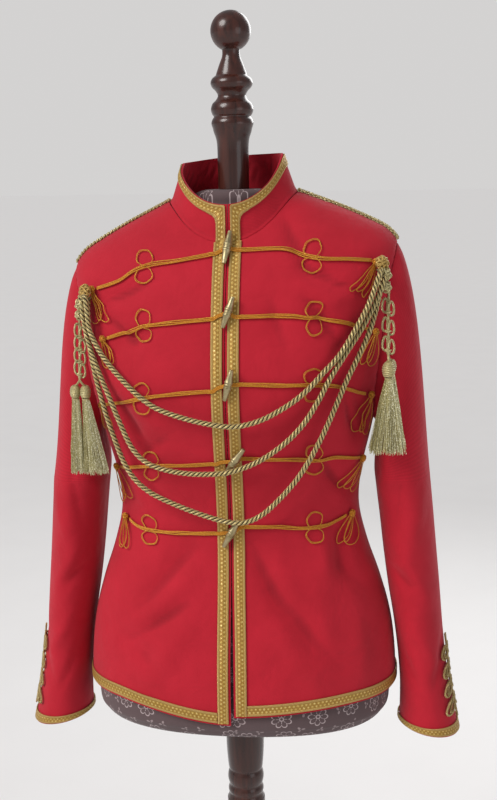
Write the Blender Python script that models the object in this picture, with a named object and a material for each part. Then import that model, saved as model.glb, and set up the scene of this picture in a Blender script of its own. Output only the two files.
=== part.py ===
"""Circus jacket with corded frogging, standing on a limbless dress form with a turned wooden stand.

Metres, +Z up. The jacket faces -Y and +X is the wearer's left. The origin is the centre of the underside
of the stand's round base. Every cloth panel is a thin wall laid on one garment surface, and every trim is
laid on the same surface, moved out from it.
"""
import math

import bmesh
import bpy
from mathutils import Vector

# ---------------------------------------------------------------- driving dimensions
CLOTH = 0.0016            # thickness of the jacket cloth
SEAM_GAP = 0.0016         # half gap at a seam, in quarter turns round the body (about 0.2 mm)
HEM_Z = 0.806             # hem height at the sides and back
HEM_DIP_LEFT = 0.010      # how much lower each front hangs at the centre
HEM_DIP_RIGHT = 0.021
FRONT_EDGE_X = 0.0005     # half of the gap between the two front edges
FRONT_EDGE_OPEN = 0.0016  # what half of the gap gains below the lowest toggle
FRONT_EDGE_OPEN_Z = 0.84  # the gap is widest below this height
FRONT_EDGE_SHUT_Z = 1.01  # and narrowest above this one
NECK_HALF_WIDTH = 0.0840  # the neckline seen from above is an oval
NECK_FRONT_DEPTH = 0.0700
NECK_BACK_DEPTH = 0.0600
NECK_LOWEST_Z = 1.3850
BACK_CUT_SHARE = 0.8      # the armhole cuts less into the back than into the front
SLEEVE_GROW = 0.965       # the sleeve starts just inside the armhole line
SEAM_EASE = 0.3           # share of the sleeve cap over which it turns away from the armhole
CUFF_RISE = 0.014         # how much higher the cuff is on the inner side of the arm
ARMPIT_Z = 1.160
SHOULDER_Z = 1.384        # outer end of the shoulder seam
ARMHOLE_CUT = 0.27        # how far the armhole cuts into front and back, in quarter turns
LEAN = 0.062              # how much the shoulders lean down to the wearer's right
LEAN_FROM_Z = 1.00
LEAN_TO_Z = 1.36
COLLAR_HEIGHT = 0.0455
COLLAR_GAP = 0.0012
COLLAR_INSET = 0.0032     # the collar stands just inside the neckline
COLLAR_DRAW_IN_FRONT = 0.08  # at front and back the collar draws in by this share of its height
COLLAR_DRAW_IN = 0.25     # at the sides it draws in by this much more of its height
COLLAR_COLUMNS = 24
BRAID_WIDTH = 0.0135
BRAID_THICK = 0.0012
BRAID_OUT = 0.0008        # clear gap between a trim and the cloth under it
FORM_INSET = 0.0075       # the form's skin under the jacket
FORM_BOTTOM_Z = 0.756
POLE_RADIUS = 0.0262

# Horizontal sections of the jacket, hem to neck:
# height, half width, front depth, back depth, squareness of the section's corners
SECTIONS = [
    (0.745, 0.204, 0.127, 0.128, 0.045),
    (0.800, 0.209, 0.128, 0.130, 0.045),
    (0.850, 0.208, 0.125, 0.127, 0.045),
    (0.900, 0.2015, 0.118, 0.119, 0.045),
    (0.950, 0.188, 0.110, 0.109, 0.045),
    (1.000, 0.171, 0.103, 0.099, 0.045),
    (1.050, 0.160, 0.101, 0.093, 0.045),
    (1.100, 0.164, 0.107, 0.096, 0.045),
    (1.150, 0.176, 0.118, 0.102, 0.050),
    (1.200, 0.188, 0.127, 0.107, 0.050),
    (1.250, 0.199, 0.127, 0.110, 0.050),
    (1.300, 0.207, 0.117, 0.111, 0.045),
    (1.345, 0.2115, 0.102, 0.106, 0.040),
    (1.378, 0.2120, 0.086, 0.098, 0.030),
    (1.400, 0.198, 0.0715, 0.090, 0.020),
    (1.416, 0.172, 0.062, 0.083, 0.010),
    (1.433, 0.138, 0.053, 0.075, 0.000),
    (1.448, 0.104, 0.046, 0.067, 0.000),
    (1.463, 0.070, 0.040, 0.057, 0.000),
]

# Largest folds in the cloth. Each runs from one point to another:
# name, face (front or back), x and height of its start, x and height of its end, half width, rise
FOLDS = [
    ("bust_right", "front", -0.150, 1.245, -0.060, 1.225, 0.040, 0.0050),
    ("bust_left", "front", 0.060, 1.225, 0.150, 1.245, 0.040, 0.0050),
    ("armpit_to_waist_right", "front", -0.165, 1.170, -0.110, 1.060, 0.013, 0.0045),
    ("armpit_to_waist_left", "front", 0.165, 1.180, 0.120, 1.070, 0.013, 0.0045),
    ("skirt_right_high", "front", -0.060, 0.985, -0.140, 0.880, 0.014, 0.0035),
    ("skirt_right_low", "front", -0.050, 0.930, -0.120, 0.835, 0.015, 0.0040),
    ("skirt_left_near", "front", 0.120, 1.000, 0.135, 0.850, 0.012, 0.0040),
    ("skirt_left_far", "front", 0.150, 0.980, 0.168, 0.840, 0.011, 0.0045),
    ("drag_left_shoulder", "front", 0.170, 1.335, 0.100, 1.300, 0.014, 0.0035),
    ("back_waist_left", "back", 0.060, 1.130, 0.070, 0.900, 0.014, 0.0040),
    ("back_waist_right", "back", -0.060, 1.130, -0.070, 0.900, 0.014, 0.0040),
    ("back_blade_left", "back", 0.150, 1.250, 0.080, 1.150, 0.015, 0.0035),
    ("back_blade_right", "back", -0.150, 1.250, -0.080, 1.150, 0.015, 0.0035),
]

# Sleeve stations below the armhole: height, x and y of the centre, half width across, half width fore and aft
SLEEVE_STATIONS = [
    (1.090, 0.2170, 0.006, 0.0365, 0.0650),
    (1.040, 0.2225, 0.008, 0.0360, 0.0630),
    (0.990, 0.2275, 0.008, 0.0355, 0.0600),
    (0.940, 0.2330, 0.006, 0.0345, 0.0570),
    (0.890, 0.2390, 0.003, 0.0325, 0.0540),
    (0.845, 0.2440, 0.000, 0.0320, 0.0510),
    (0.805, 0.2480, -0.004, 0.0330, 0.0490),
    (0.770, 0.2515, -0.007, 0.0365, 0.0475),
    (0.737, 0.2545, -0.009, 0.0405, 0.0465),
]

# Turned profiles, radius and height, from the top down
BALL_RADIUS = 0.0255
BALL_Z = 1.6620
FINIAL_PROFILE = [
    (0.0115, 1.6310), (0.0150, 1.6220), (0.0190, 1.6110), (0.0200, 1.6080),
    (0.0248, 1.6040), (0.0268, 1.5985), (0.0248, 1.5930), (0.0205, 1.5885),
    (0.0178, 1.5830), (0.0205, 1.5775), (0.0250, 1.5730), (0.0270, 1.5660),
    (0.0255, 1.5600), (0.0235, 1.5568), (0.0258, 1.5530), (0.0268, 1.5480),
    (0.0250, 1.5420), (0.0240, 1.5375), (0.0212, 1.5290), (0.0200, 1.5180),
    (0.0200, 1.4985),
]
POLE_PROFILE = [
    (0.0262, 0.7000), (0.0240, 0.6660), (0.0226, 0.6620),
    (0.0245, 0.6560), (0.0252, 0.6490), (0.0240, 0.6420), (0.0228, 0.6385),
    (0.0246, 0.6330), (0.0246, 0.6290), (0.0234, 0.6250), (0.0255, 0.6180),
    (0.0265, 0.6050), (0.0270, 0.5000), (0.0290, 0.3500), (0.0310, 0.2000),
    (0.0320, 0.1400), (0.0290, 0.1250), (0.0400, 0.1120), (0.0400, 0.1000),
]


# ---------------------------------------------------------------- curves and small sums
def catmull(points, t):
    """Point at t (0 to len-1) on a Catmull-Rom curve through rows of numbers."""
    last = len(points) - 1
    t = min(max(t, 0.0), float(last))
    i = min(int(t), last - 1)
    f = t - i
    rows = [points[max(i - 1, 0)], points[i], points[i + 1], points[min(i + 2, last)]]
    out = []
    for p0, p1, p2, p3 in zip(*rows):
        out.append(0.5 * (2 * p1 + (p2 - p0) * f + (2 * p0 - 5 * p1 + 4 * p2 - p3) * f ** 2
                          + (3 * p1 - p0 - 3 * p2 + p3) * f ** 3))
    return out


def smooth_step(value, low, high):
    f = min(max((value - low) / (high - low), 0.0), 1.0)
    return f * f * (3.0 - 2.0 * f)


def level_at(z):
    """Position in SECTIONS whose height is z."""
    low, high = 0.0, len(SECTIONS) - 1.0
    for _ in range(40):
        mid = 0.5 * (low + high)
        if catmull(SECTIONS, mid)[0] < z:
            low = mid
        else:
            high = mid
    return 0.5 * (low + high)


def lean(point):
    """The shoulders lean down to the wearer's right, the waist and the hem don't."""
    fade = smooth_step(point.z, LEAN_FROM_Z, LEAN_TO_Z)
    return Vector((point.x, point.y, point.z + LEAN * fade * point.x))


# ---------------------------------------------------------------- garment surface
def section_point(quarter, level, inset=0.0):
    """Point round a section: quarter 0 is the centre front, 1 the wearer's left side, 2 the centre back."""
    z, half_width, front, back, square = catmull(SECTIONS, level)
    angle = quarter * math.pi / 2.0
    depth = (front if math.cos(angle) > 0.0 else back) - inset
    swell = 1.0 + square * math.sin(2.0 * angle) ** 2
    return Vector(((half_width - inset) * math.sin(angle) * swell, -depth * math.cos(angle) * swell, z))


def fold_rise(point, face):
    """Height of the soft folds at a point."""
    rise = 0.0
    for _, fold_face, x0, z0, x1, z1, width, height in FOLDS:
        if fold_face != face:
            continue
        ax, az = x1 - x0, z1 - z0
        along = ((point.x - x0) * ax + (point.z - z0) * az) / (ax * ax + az * az)
        held = min(max(along, 0.0), 1.0)
        off = math.hypot(point.x - x0 - held * ax, point.z - z0 - held * az)
        rise += height * math.exp(-(off / width) ** 2) * (0.35 + 0.65 * math.sin(math.pi * held))
    return rise


def folded_point(quarter, level):
    """Point of a section with the soft folds, before the shoulders lean."""
    point = section_point(quarter, level)
    face = "front" if math.cos(quarter * math.pi / 2.0) > 0.0 else "back"
    side_fade = min(1.0, abs(math.cos(quarter * math.pi / 2.0)) / 0.25)
    outward = Vector((point.x * 0.6, point.y, 0.0)).normalized()
    return point + outward * fold_rise(point, face) * side_fade


def bare_surface(quarter, level):
    return lean(folded_point(quarter, level))


def surface(quarter, level, out=0.0):
    """Point of the garment's outer surface, moved out along its normal."""
    step = 0.004
    here = bare_surface(quarter, level)
    across = bare_surface(quarter + step, level) - bare_surface(quarter - step, level)
    up = bare_surface(quarter, level + step * 4) - bare_surface(quarter, level - step * 4)
    normal = across.cross(up).normalized()
    return here + normal * out, normal


def at_xz(x, z, out=0.0, face="front"):
    """Point of the surface over the place x, z of the untilted front or back."""
    level = level_at(z)
    low, high = (0.0, 1.0) if face == "front" else (1.0, 2.0)
    for _ in range(26):
        mid = 0.5 * (low + high)
        inside = section_point(mid, level).x < abs(x)
        if inside == (face == "front"):
            low = mid
        else:
            high = mid
    quarter = math.copysign(0.5 * (low + high), x)
    return surface(quarter, level, out)


def neck_level(quarter):
    """Neckline: where the surface crosses an upright oval tube, low in front and high at the sides."""
    low, high = level_at(NECK_LOWEST_Z), len(SECTIONS) - 1.0
    for _ in range(30):
        mid = 0.5 * (low + high)
        point = section_point(quarter, mid)
        depth = NECK_FRONT_DEPTH if point.y < 0.0 else NECK_BACK_DEPTH
        if (point.x / NECK_HALF_WIDTH) ** 2 + (point.y / depth) ** 2 > 1.0:
            low = mid
        else:
            high = mid
    return 0.5 * (low + high)


def hem_level(quarter):
    fade = smooth_step(abs(quarter), 0.0, 0.55)
    dip = HEM_DIP_LEFT if quarter >= 0.0 else HEM_DIP_RIGHT
    return level_at(HEM_Z - dip * (1.0 - fade))


def armhole(turn, cut=ARMHOLE_CUT, grow=1.0):
    """Armhole line: turn 0 at the shoulder, 1 at the armpit; quarters cut back from the side, and level."""
    top, bottom = level_at(SHOULDER_Z), level_at(ARMPIT_Z)
    middle = 0.5 * (top + bottom)
    angle = turn * math.pi
    notch = cut * math.sin(angle) ** 0.8 * (1.0 + 0.10 * (turn - 0.5))
    return notch * grow, middle + (top - middle) * math.cos(angle) * grow


# ---------------------------------------------------------------- mesh makers
def material(name, colour, roughness, metallic=0.0):
    made = bpy.data.materials.new(name)
    made.use_nodes = True
    shader = made.node_tree.nodes["Principled BSDF"]
    shader.inputs["Base Color"].default_value = (*colour, 1.0)
    shader.inputs["Roughness"].default_value = roughness
    shader.inputs["Metallic"].default_value = metallic
    return made


def add_object(name, vertices, faces, finish, sharp=40.0):
    mesh = bpy.data.meshes.new(name)
    mesh.from_pydata([tuple(v) for v in vertices], [], faces)
    mesh.validate()
    work = bmesh.new()
    work.from_mesh(mesh)
    bmesh.ops.recalc_face_normals(work, faces=work.faces)
    if work.calc_volume(signed=True) < 0.0:
        bmesh.ops.reverse_faces(work, faces=work.faces)
    work.to_mesh(mesh)
    work.free()
    mesh.shade_smooth()
    mesh.set_sharp_from_angle(angle=math.radians(sharp))
    made = bpy.data.objects.new(name, mesh)
    made.data.materials.append(finish)
    bpy.context.scene.collection.objects.link(made)
    return made


def wall(name, outer, inner, finish, round_in_u=False, round_in_v=False):
    """Closed wall between two grids of points, outer[v][u] and inner[v][u]."""
    rows, columns = len(outer), len(outer[0])
    vertices = [p for row in outer for p in row] + [p for row in inner for p in row]
    half = rows * columns
    faces = []

    def index(v, u, side):
        return side * half + (v % rows) * columns + u % columns

    row_steps = rows if round_in_v else rows - 1
    column_steps = columns if round_in_u else columns - 1
    for v in range(row_steps):
        for u in range(column_steps):
            for side in (0, 1):
                quad = [index(v, u, side), index(v, u + 1, side),
                        index(v + 1, u + 1, side), index(v + 1, u, side)]
                faces.append(quad if side == 0 else quad[::-1])
    if not round_in_v:
        for u in range(column_steps):
            faces.append([index(0, u + 1, 0), index(0, u, 0), index(0, u, 1), index(0, u + 1, 1)])
            faces.append([index(rows - 1, u, 0), index(rows - 1, u + 1, 0),
                          index(rows - 1, u + 1, 1), index(rows - 1, u, 1)])
    if not round_in_u:
        for v in range(row_steps):
            faces.append([index(v, 0, 0), index(v + 1, 0, 0), index(v + 1, 0, 1), index(v, 0, 1)])
            faces.append([index(v + 1, columns - 1, 0), index(v, columns - 1, 0),
                          index(v, columns - 1, 1), index(v + 1, columns - 1, 1)])
    return add_object(name, vertices, faces, finish)


def loft(name, rings, finish, sharp=40.0):
    """Closed body through rings of equal length, with a flat cap at each end."""
    sides = len(rings[0])
    vertices = [p for ring in rings for p in ring]
    faces = [list(range(sides))[::-1], list(range((len(rings) - 1) * sides, len(rings) * sides))]
    for r in range(len(rings) - 1):
        for s in range(sides):
            t = (s + 1) % sides
            faces.append([r * sides + s, r * sides + t, (r + 1) * sides + t, (r + 1) * sides + s])
    return add_object(name, vertices, faces, finish, sharp)


def turned(name, profile, sides, finish, sharp=40.0):
    rings = []
    for radius, z in profile:
        rings.append([Vector((radius * math.cos(2 * math.pi * s / sides),
                              radius * math.sin(2 * math.pi * s / sides), z)) for s in range(sides)])
    return loft(name, rings, finish, sharp)


# ---------------------------------------------------------------- cloth panels
def coons(bottom, top, left, right, places, rows):
    """Grid of (quarter, level) pairs filled between four border functions of 0 to 1.

    The top border pulls only on the upper rows, so that no row swings out over the armhole.
    """
    grid = []
    for j in range(rows + 1):
        v = j / rows
        w = v ** 4
        line = []
        for u in places:
            b, t, le, ri = bottom(u), top(u), left(v), right(v)
            corners = (bottom(0.0), bottom(1.0), top(0.0), top(1.0))
            pair = []
            for k in (0, 1):
                ruled = (1 - w) * b[k] + w * t[k] + (1 - u) * le[k] + u * ri[k]
                bilinear = ((1 - u) * (1 - w) * corners[0][k] + u * (1 - w) * corners[1][k]
                            + (1 - u) * w * corners[2][k] + u * w * corners[3][k])
                pair.append(ruled - bilinear)
            line.append(tuple(pair))
        grid.append(line)
    return grid


def panel_from_grid(name, grid, finish, side=1.0):
    outer, inner = [], []
    for line in grid:
        outer_row, inner_row = [], []
        for quarter, level in line:
            point, normal = surface(quarter * side, level)
            outer_row.append(point)
            inner_row.append(point - normal * CLOTH)
        outer.append(outer_row)
        inner.append(inner_row)
    return wall(name, outer, inner, finish)


FRONT_NECK_SHARE = 0.45    # share of a front's top border that is neckline, the rest is shoulder
FRONT_PLACES = [0.0, 0.07, 0.165, 0.26, 0.355, 0.45, 0.56, 0.67, 0.78, 0.89, 1.0]
BACK_NECK_SHARE = 0.45
BACK_PLACES = [0.0, 0.1125, 0.225, 0.3375, 0.45, 0.585, 0.725, 0.865, 1.0]
PANEL_ROWS = 19
ARMPIT_SHARE = 11 / 19     # share of the outer border that is side seam, the rest is armhole


def front_edge_x(z):
    shut = smooth_step(z, FRONT_EDGE_OPEN_Z, FRONT_EDGE_SHUT_Z)
    return FRONT_EDGE_X + FRONT_EDGE_OPEN * (1.0 - shut)


def front_edge_quarter(level):
    z, half_width, _, _, _ = catmull(SECTIONS, level)
    return front_edge_x(z) / half_width / (math.pi / 2.0)


def front_borders(side):
    def bottom(u):
        quarter = front_edge_quarter(1.0) + (1.0 - SEAM_GAP - front_edge_quarter(1.0)) * u
        return quarter, hem_level(quarter * side)

    def top(u):
        if u <= FRONT_NECK_SHARE:
            level0 = neck_level(0.0)
            start = front_edge_quarter(level0)
            quarter = start + (1.0 - SEAM_GAP - start) * (u / FRONT_NECK_SHARE)
            return quarter, neck_level(quarter)
        along = (u - FRONT_NECK_SHARE) / (1.0 - FRONT_NECK_SHARE)
        side_level = neck_level(1.0)
        return 1.0 - SEAM_GAP, side_level + (level_at(SHOULDER_Z) - side_level) * along

    def left(v):
        low = hem_level(0.001 * side)
        level = low + (neck_level(0.0) - low) * v
        return front_edge_quarter(level), level

    def right(v):
        if v <= ARMPIT_SHARE:
            along = v / ARMPIT_SHARE
            low = hem_level(1.0)
            return 1.0 - SEAM_GAP, low + (level_at(ARMPIT_Z) - low) * along
        along = (v - ARMPIT_SHARE) / (1.0 - ARMPIT_SHARE)
        notch, level = armhole(1.0 - along)
        return 1.0 - SEAM_GAP - notch, level

    return bottom, top, left, right


def front_grid(side):
    return coons(*front_borders(side), FRONT_PLACES, PANEL_ROWS)


def back_half_grid():
    """Half of the back, from the side seam to the centre back line."""
    def bottom(u):
        quarter = 1.0 + SEAM_GAP + (1.0 - SEAM_GAP) * (1.0 - u)
        return quarter, hem_level(quarter)

    def top(u):
        if u <= BACK_NECK_SHARE:
            quarter = 2.0 - (1.0 - SEAM_GAP) * (u / BACK_NECK_SHARE)
            return quarter, neck_level(quarter)
        along = (u - BACK_NECK_SHARE) / (1.0 - BACK_NECK_SHARE)
        side_level = neck_level(1.0)
        return 1.0 + SEAM_GAP, side_level + (level_at(SHOULDER_Z) - side_level) * along

    def left(v):
        low, armpit, high = hem_level(2.0), level_at(ARMPIT_Z), neck_level(2.0)
        if v <= ARMPIT_SHARE:
            return 2.0, low + (armpit - low) * v / ARMPIT_SHARE
        return 2.0, armpit + (high - armpit) * (v - ARMPIT_SHARE) / (1.0 - ARMPIT_SHARE)

    def right(v):
        if v <= ARMPIT_SHARE:
            low = hem_level(1.0)
            return 1.0 + SEAM_GAP, low + (level_at(ARMPIT_Z) - low) * v / ARMPIT_SHARE
        along = (v - ARMPIT_SHARE) / (1.0 - ARMPIT_SHARE)
        notch, level = armhole(1.0 - along, cut=ARMHOLE_CUT * BACK_CUT_SHARE)
        return 1.0 + SEAM_GAP + notch, level

    return coons(bottom, top, left, right, BACK_PLACES, PANEL_ROWS)


def sleeve_station(row, turn):
    z, cx, cy, across, fore = row
    angle = 2.0 * math.pi * turn
    return Vector((cx + across * math.cos(angle), cy - fore * math.sin(angle), z))


def armhole_place(turn, grow=1.0):
    """Quarter and level of the armhole at a turn round the sleeve: 0 shoulder, 0.25 front, 0.5 armpit."""
    half = turn * 2.0 if turn <= 0.5 else (1.0 - turn) * 2.0
    notch, level = armhole(half, ARMHOLE_CUT * (1.0 if turn <= 0.5 else BACK_CUT_SHARE), grow)
    return (1.0 - notch if turn <= 0.5 else 1.0 + notch), level


def sleeve_cap_point(side, turn, f):
    quarter, level = armhole_place(turn, SLEEVE_GROW)
    start = folded_point(quarter * side, level)
    start.x *= side
    end = sleeve_station(SLEEVE_STATIONS[0], turn)
    outer_share = 0.5 + 0.5 * math.cos(2.0 * math.pi * turn)
    leave = Vector((0.52 - 0.10 * outer_share, 0.0, -0.53 - 0.35 * outer_share))
    p1 = start + leave * (0.022 + 0.085 * outer_share)
    p2 = end + Vector((-0.08, 0.0, 1.0)) * (0.030 + 0.070 * outer_share)
    g = 1.0 - f
    return start * g ** 3 + p1 * 3 * g * g * f + p2 * 3 * g * f * f + end * f ** 3


def sleeve_point(side, turn, v):
    """Outer point of a sleeve as if on the wearer's left, without the lean: v 0 to 1 is the cap."""
    turn = turn % 1.0
    if v <= 1.0:
        return sleeve_cap_point(side, turn, v)
    point = sleeve_station(catmull(SLEEVE_STATIONS, v - 1.0), turn)
    last = len(SLEEVE_STATIONS) - 1.0
    point.z += smooth_step(v - 1.0, last - 1.0, last) * CUFF_RISE * (0.5 - 0.5 * math.cos(2.0 * math.pi * turn))
    return point


def sleeve_surface(side, turn, v, out=0.0):
    """Point and normal of a sleeve's outer surface; turn 0 is outside and a quarter turn is front."""
    last = float(len(SLEEVE_STATIONS))
    around = sleeve_point(side, turn + 0.01, v) - sleeve_point(side, turn - 0.01, v)
    down = sleeve_point(side, turn, min(v + 0.02, last)) - sleeve_point(side, turn, max(v - 0.02, 0.0))
    normal = down.cross(around).normalized()
    angle = 2.0 * math.pi * turn
    if normal.dot(Vector((math.cos(angle), -math.sin(angle), 0.0))) < 0.0:
        normal = -normal
    if v < SEAM_EASE:
        _, flat = surface(*armhole_place(turn % 1.0))
        normal = flat.lerp(normal, smooth_step(v, 0.0, SEAM_EASE)).normalized()
    mirror = Vector((side, 1.0, 1.0))
    return lean((sleeve_point(side, turn, v) + normal * out) * mirror), normal * mirror


def sleeve_v_at(z):
    low, high = 1.0, float(len(SLEEVE_STATIONS))
    for _ in range(30):
        mid = 0.5 * (low + high)
        if sleeve_point(1.0, 0.0, mid).z > z:
            low = mid
        else:
            high = mid
    return 0.5 * (low + high)


def sleeve_grids(side, steps, columns, out, thick):
    """Outer and inner grids of a wall that lies on the sleeve, between two heights above its surface."""
    outer, inner = [], []
    for v in steps:
        places = [sleeve_surface(side, c / columns, v) for c in range(columns)]
        outer.append([p + n * (out + thick) for p, n in places])
        inner.append([p + n * out for p, n in places])
    return outer, inner


def collar_point(quarter, height, out=0.0):
    """Stand collar: the neckline ring raised, drawn in a little and leaning forward with the neck."""
    base, _ = surface(quarter, neck_level(quarter))
    angle = quarter * math.pi / 2.0
    outward = Vector((math.sin(angle), -math.cos(angle), 0.0))
    draw_in = height * (COLLAR_DRAW_IN_FRONT + COLLAR_DRAW_IN * abs(math.sin(angle)))
    forward = -0.10 * height
    back_rise = 1.0 + 0.06 * (0.5 - 0.5 * math.cos(angle))
    point = base + outward * (out - draw_in - COLLAR_INSET) + Vector((0.0, forward, height * back_rise))
    return point


# ---------------------------------------------------------------- start of the model
for old in list(bpy.data.objects):
    bpy.data.objects.remove(old, do_unlink=True)

RED_CLOTH = material("red_cotton_twill", (0.52, 0.018, 0.030), 0.78)
FORM_CLOTH = material("flowered_form_cloth", (0.120, 0.085, 0.090), 0.85)
WOOD = material("dark_turned_wood", (0.050, 0.016, 0.012), 0.32)
GOLD_BRAID = material("gold_woven_braid", (0.46, 0.29, 0.06), 0.45, 0.35)
FROG_CORD = material("gold_soutache_cord", (0.50, 0.20, 0.012), 0.55, 0.10)
TWISTED_CORD = material("pale_gold_twisted_cord", (0.45, 0.36, 0.13), 0.42, 0.25)
TOGGLE_METAL = material("pale_brass_toggle", (0.62, 0.52, 0.28), 0.38, 0.90)

panel_from_grid("front_left", front_grid(1.0), RED_CLOTH, 1.0)
panel_from_grid("front_right", front_grid(-1.0), RED_CLOTH, -1.0)

half_back = back_half_grid()
whole_back = []
for line in half_back:
    mirrored = [(4.0 - quarter, level) for quarter, level in line[1:]]
    whole_back.append(line[::-1] + mirrored)
panel_from_grid("back", whole_back, RED_CLOTH)

SLEEVE_COLUMNS = 16
SLEEVE_STEPS = [0.0, 0.16, 0.38, 0.66, 1.0] + [1.0 + 0.8 * k for k in range(1, 11)]
for side, word in ((1.0, "left"), (-1.0, "right")):
    outer, inner = sleeve_grids(side, SLEEVE_STEPS, SLEEVE_COLUMNS, -CLOTH, CLOTH)
    wall("sleeve_" + word, outer, inner, RED_CLOTH, round_in_u=True)


def collar_grid(columns=COLLAR_COLUMNS, rows=2):
    start = front_edge_quarter(neck_level(0.0))
    outer, inner = [], []
    for j in range(rows + 1):
        height = COLLAR_GAP + COLLAR_HEIGHT * j / rows
        outer_row, inner_row = [], []
        for i in range(columns + 1):
            quarter = start + (4.0 - 2.0 * start) * i / columns
            quarter = quarter - 4.0 if quarter > 2.0 else quarter
            outer_row.append(collar_point(quarter, height))
            inner_row.append(collar_point(quarter, height, -CLOTH * 1.5))
        outer.append(outer_row)
        inner.append(inner_row)
    return outer, inner


wall("collar", *collar_grid(), RED_CLOTH)


# ---------------------------------------------------------------- woven braid along the edges
def band(name, stations, finish):
    """Flat braid through stations, each a pair of (point, normal) for its two edges."""
    rings = []
    for (p, n), (q, m) in stations:
        rings.append([p + n * BRAID_OUT, q + m * BRAID_OUT,
                      q + m * (BRAID_OUT + BRAID_THICK), p + n * (BRAID_OUT + BRAID_THICK)])
    return loft(name, rings, finish)


HEM_MARGIN = 0.0030        # red edge that shows below the hem braid
EDGE_MARGIN = 0.0028       # red edge that shows beside the front braid
COLLAR_BRAID_LOW = 0.0050  # height of its lower ends above the neckline
COLLAR_BRAID_TOP = COLLAR_GAP + COLLAR_HEIGHT - 0.0008
COLLAR_BRAID_WIDTH = 0.0125


def collar_braid_stations():
    """Outer and inner edge of the collar's braid: up one front edge, round the top and down the other."""
    _, half_width, _, _, _ = catmull(SECTIONS, neck_level(0.0))
    start = (FRONT_EDGE_X + EDGE_MARGIN) / half_width / (math.pi / 2.0)
    width = COLLAR_BRAID_WIDTH / half_width / (math.pi / 2.0)
    inner_height = COLLAR_BRAID_TOP - COLLAR_BRAID_WIDTH
    places = [((start, COLLAR_BRAID_LOW), (start + width, COLLAR_BRAID_LOW)),
              ((start, COLLAR_BRAID_TOP), (start + width, inner_height))]
    for i in range(1, COLLAR_COLUMNS):
        quarter = 4.0 * i / COLLAR_COLUMNS
        places.append(((quarter, COLLAR_BRAID_TOP), (quarter, inner_height)))
    places += [((4.0 - a, h), (4.0 - b, g)) for (a, h), (b, g) in places[1::-1]]
    return places


rings = []
for outer_edge, inner_edge in collar_braid_stations():
    ring = []
    for (quarter, height), out in ((outer_edge, BRAID_OUT), (inner_edge, BRAID_OUT),
                                   (inner_edge, BRAID_OUT + BRAID_THICK), (outer_edge, BRAID_OUT + BRAID_THICK)):
        ring.append(collar_point(quarter - 4.0 if quarter > 2.0 else quarter, height, out))
    rings.append(ring)
loft("braid_collar", rings, GOLD_BRAID)


def hem_height(quarter):
    return catmull(SECTIONS, hem_level(quarter))[0]


for side, word in ((1.0, "left"), (-1.0, "right")):
    low = hem_height(0.002 * side) + HEM_MARGIN
    high = catmull(SECTIONS, neck_level(0.0))[0] - 0.001
    stations = []
    first_level, last_level = hem_level(0.002 * side), neck_level(0.0)
    for k in range(PANEL_ROWS + 1):
        level = first_level + (last_level - first_level) * k / PANEL_ROWS
        z = min(max(catmull(SECTIONS, level)[0], low), high)
        near_x = front_edge_x(z) + EDGE_MARGIN
        stations.append((at_xz(near_x * side, z), at_xz((near_x + BRAID_WIDTH) * side, z)))
    band("braid_front_" + word, stations, GOLD_BRAID)

    stations = []
    for k in range(15):
        quarter = (0.060 + (1.0 - 0.008 - 0.060) * k / 14) * side
        z = hem_height(quarter) + HEM_MARGIN
        stations.append((surface(quarter, level_at(z)), surface(quarter, level_at(z + BRAID_WIDTH))))
    band("braid_hem_" + word, stations, GOLD_BRAID)

stations = []
for k in range(19):
    quarter = 1.008 + 1.984 * k / 18
    z = HEM_Z + HEM_MARGIN
    stations.append((surface(quarter, level_at(z)), surface(quarter, level_at(z + BRAID_WIDTH))))
band("braid_hem_back", stations, GOLD_BRAID)


# ---------------------------------------------------------------- dress form and stand
NECK_CAP_Z = 1.4660
FORM_SIDES = 18


def form_rings():
    rings = []
    levels = [(FORM_BOTTOM_Z, 0.022), (FORM_BOTTOM_Z + 0.005, 0.011), (FORM_BOTTOM_Z + 0.014, 0.004),
              (FORM_BOTTOM_Z + 0.030, 0.0)]
    levels += [(z, 0.0) for z in (0.86, 0.92, 0.98, 1.03, 1.08, 1.14, 1.20, 1.26, 1.32, 1.36, 1.385, 1.405,
                                  1.424, 1.439)]
    for z, more in levels:
        drop = 0.005 * smooth_step(z, 1.34, 1.40)
        ring = []
        for s in range(FORM_SIDES):
            point = section_point(4.0 * s / FORM_SIDES, level_at(z), FORM_INSET + more)
            ring.append(lean(point - Vector((0.0, 0.0, drop))))
        rings.append(ring)
    for rx, ry, cy, z in ((0.078, 0.046, 0.006, 1.4440), (0.060, 0.044, 0.006, 1.4490),
                          (0.054, 0.043, 0.005, 1.4560), (0.049, 0.040, 0.004, 1.4620),
                          (0.038, 0.033, 0.002, 1.4655), (0.028, 0.026, 0.0, NECK_CAP_Z)):
        rings.append([Vector((rx * math.sin(2 * math.pi * s / FORM_SIDES),
                              cy - ry * math.cos(2 * math.pi * s / FORM_SIDES), z)) for s in range(FORM_SIDES)])
    return rings


loft("dress_form", form_rings(), FORM_CLOTH)

ball = [(BALL_RADIUS * math.cos(a), BALL_Z + BALL_RADIUS * math.sin(a))
        for a in (math.radians(d) for d in (80, 52, 26, 0, -26, -50, -64))]
finial_profile = ball + FINIAL_PROFILE + [(0.0200, NECK_CAP_Z + 0.0004)]
turned("finial", finial_profile, 10, WOOD)

pole_profile = [(POLE_RADIUS, FORM_BOTTOM_Z - 0.0004)] + POLE_PROFILE
turned("pole", pole_profile, 12, WOOD)
BASE_PROFILE = [
    (0.0430, 0.0996), (0.0560, 0.0960), (0.0620, 0.0860), (0.0700, 0.0740), (0.1000, 0.0620),
    (0.1500, 0.0530), (0.1760, 0.0480), (0.1850, 0.0400), (0.1880, 0.0280), (0.1850, 0.0160),
    (0.1800, 0.0120), (0.1800, 0.0000),
]
turned("base", BASE_PROFILE, 22, WOOD)


# ---------------------------------------------------------------- cords and trims
CORD_GAP = 0.0019


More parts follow.
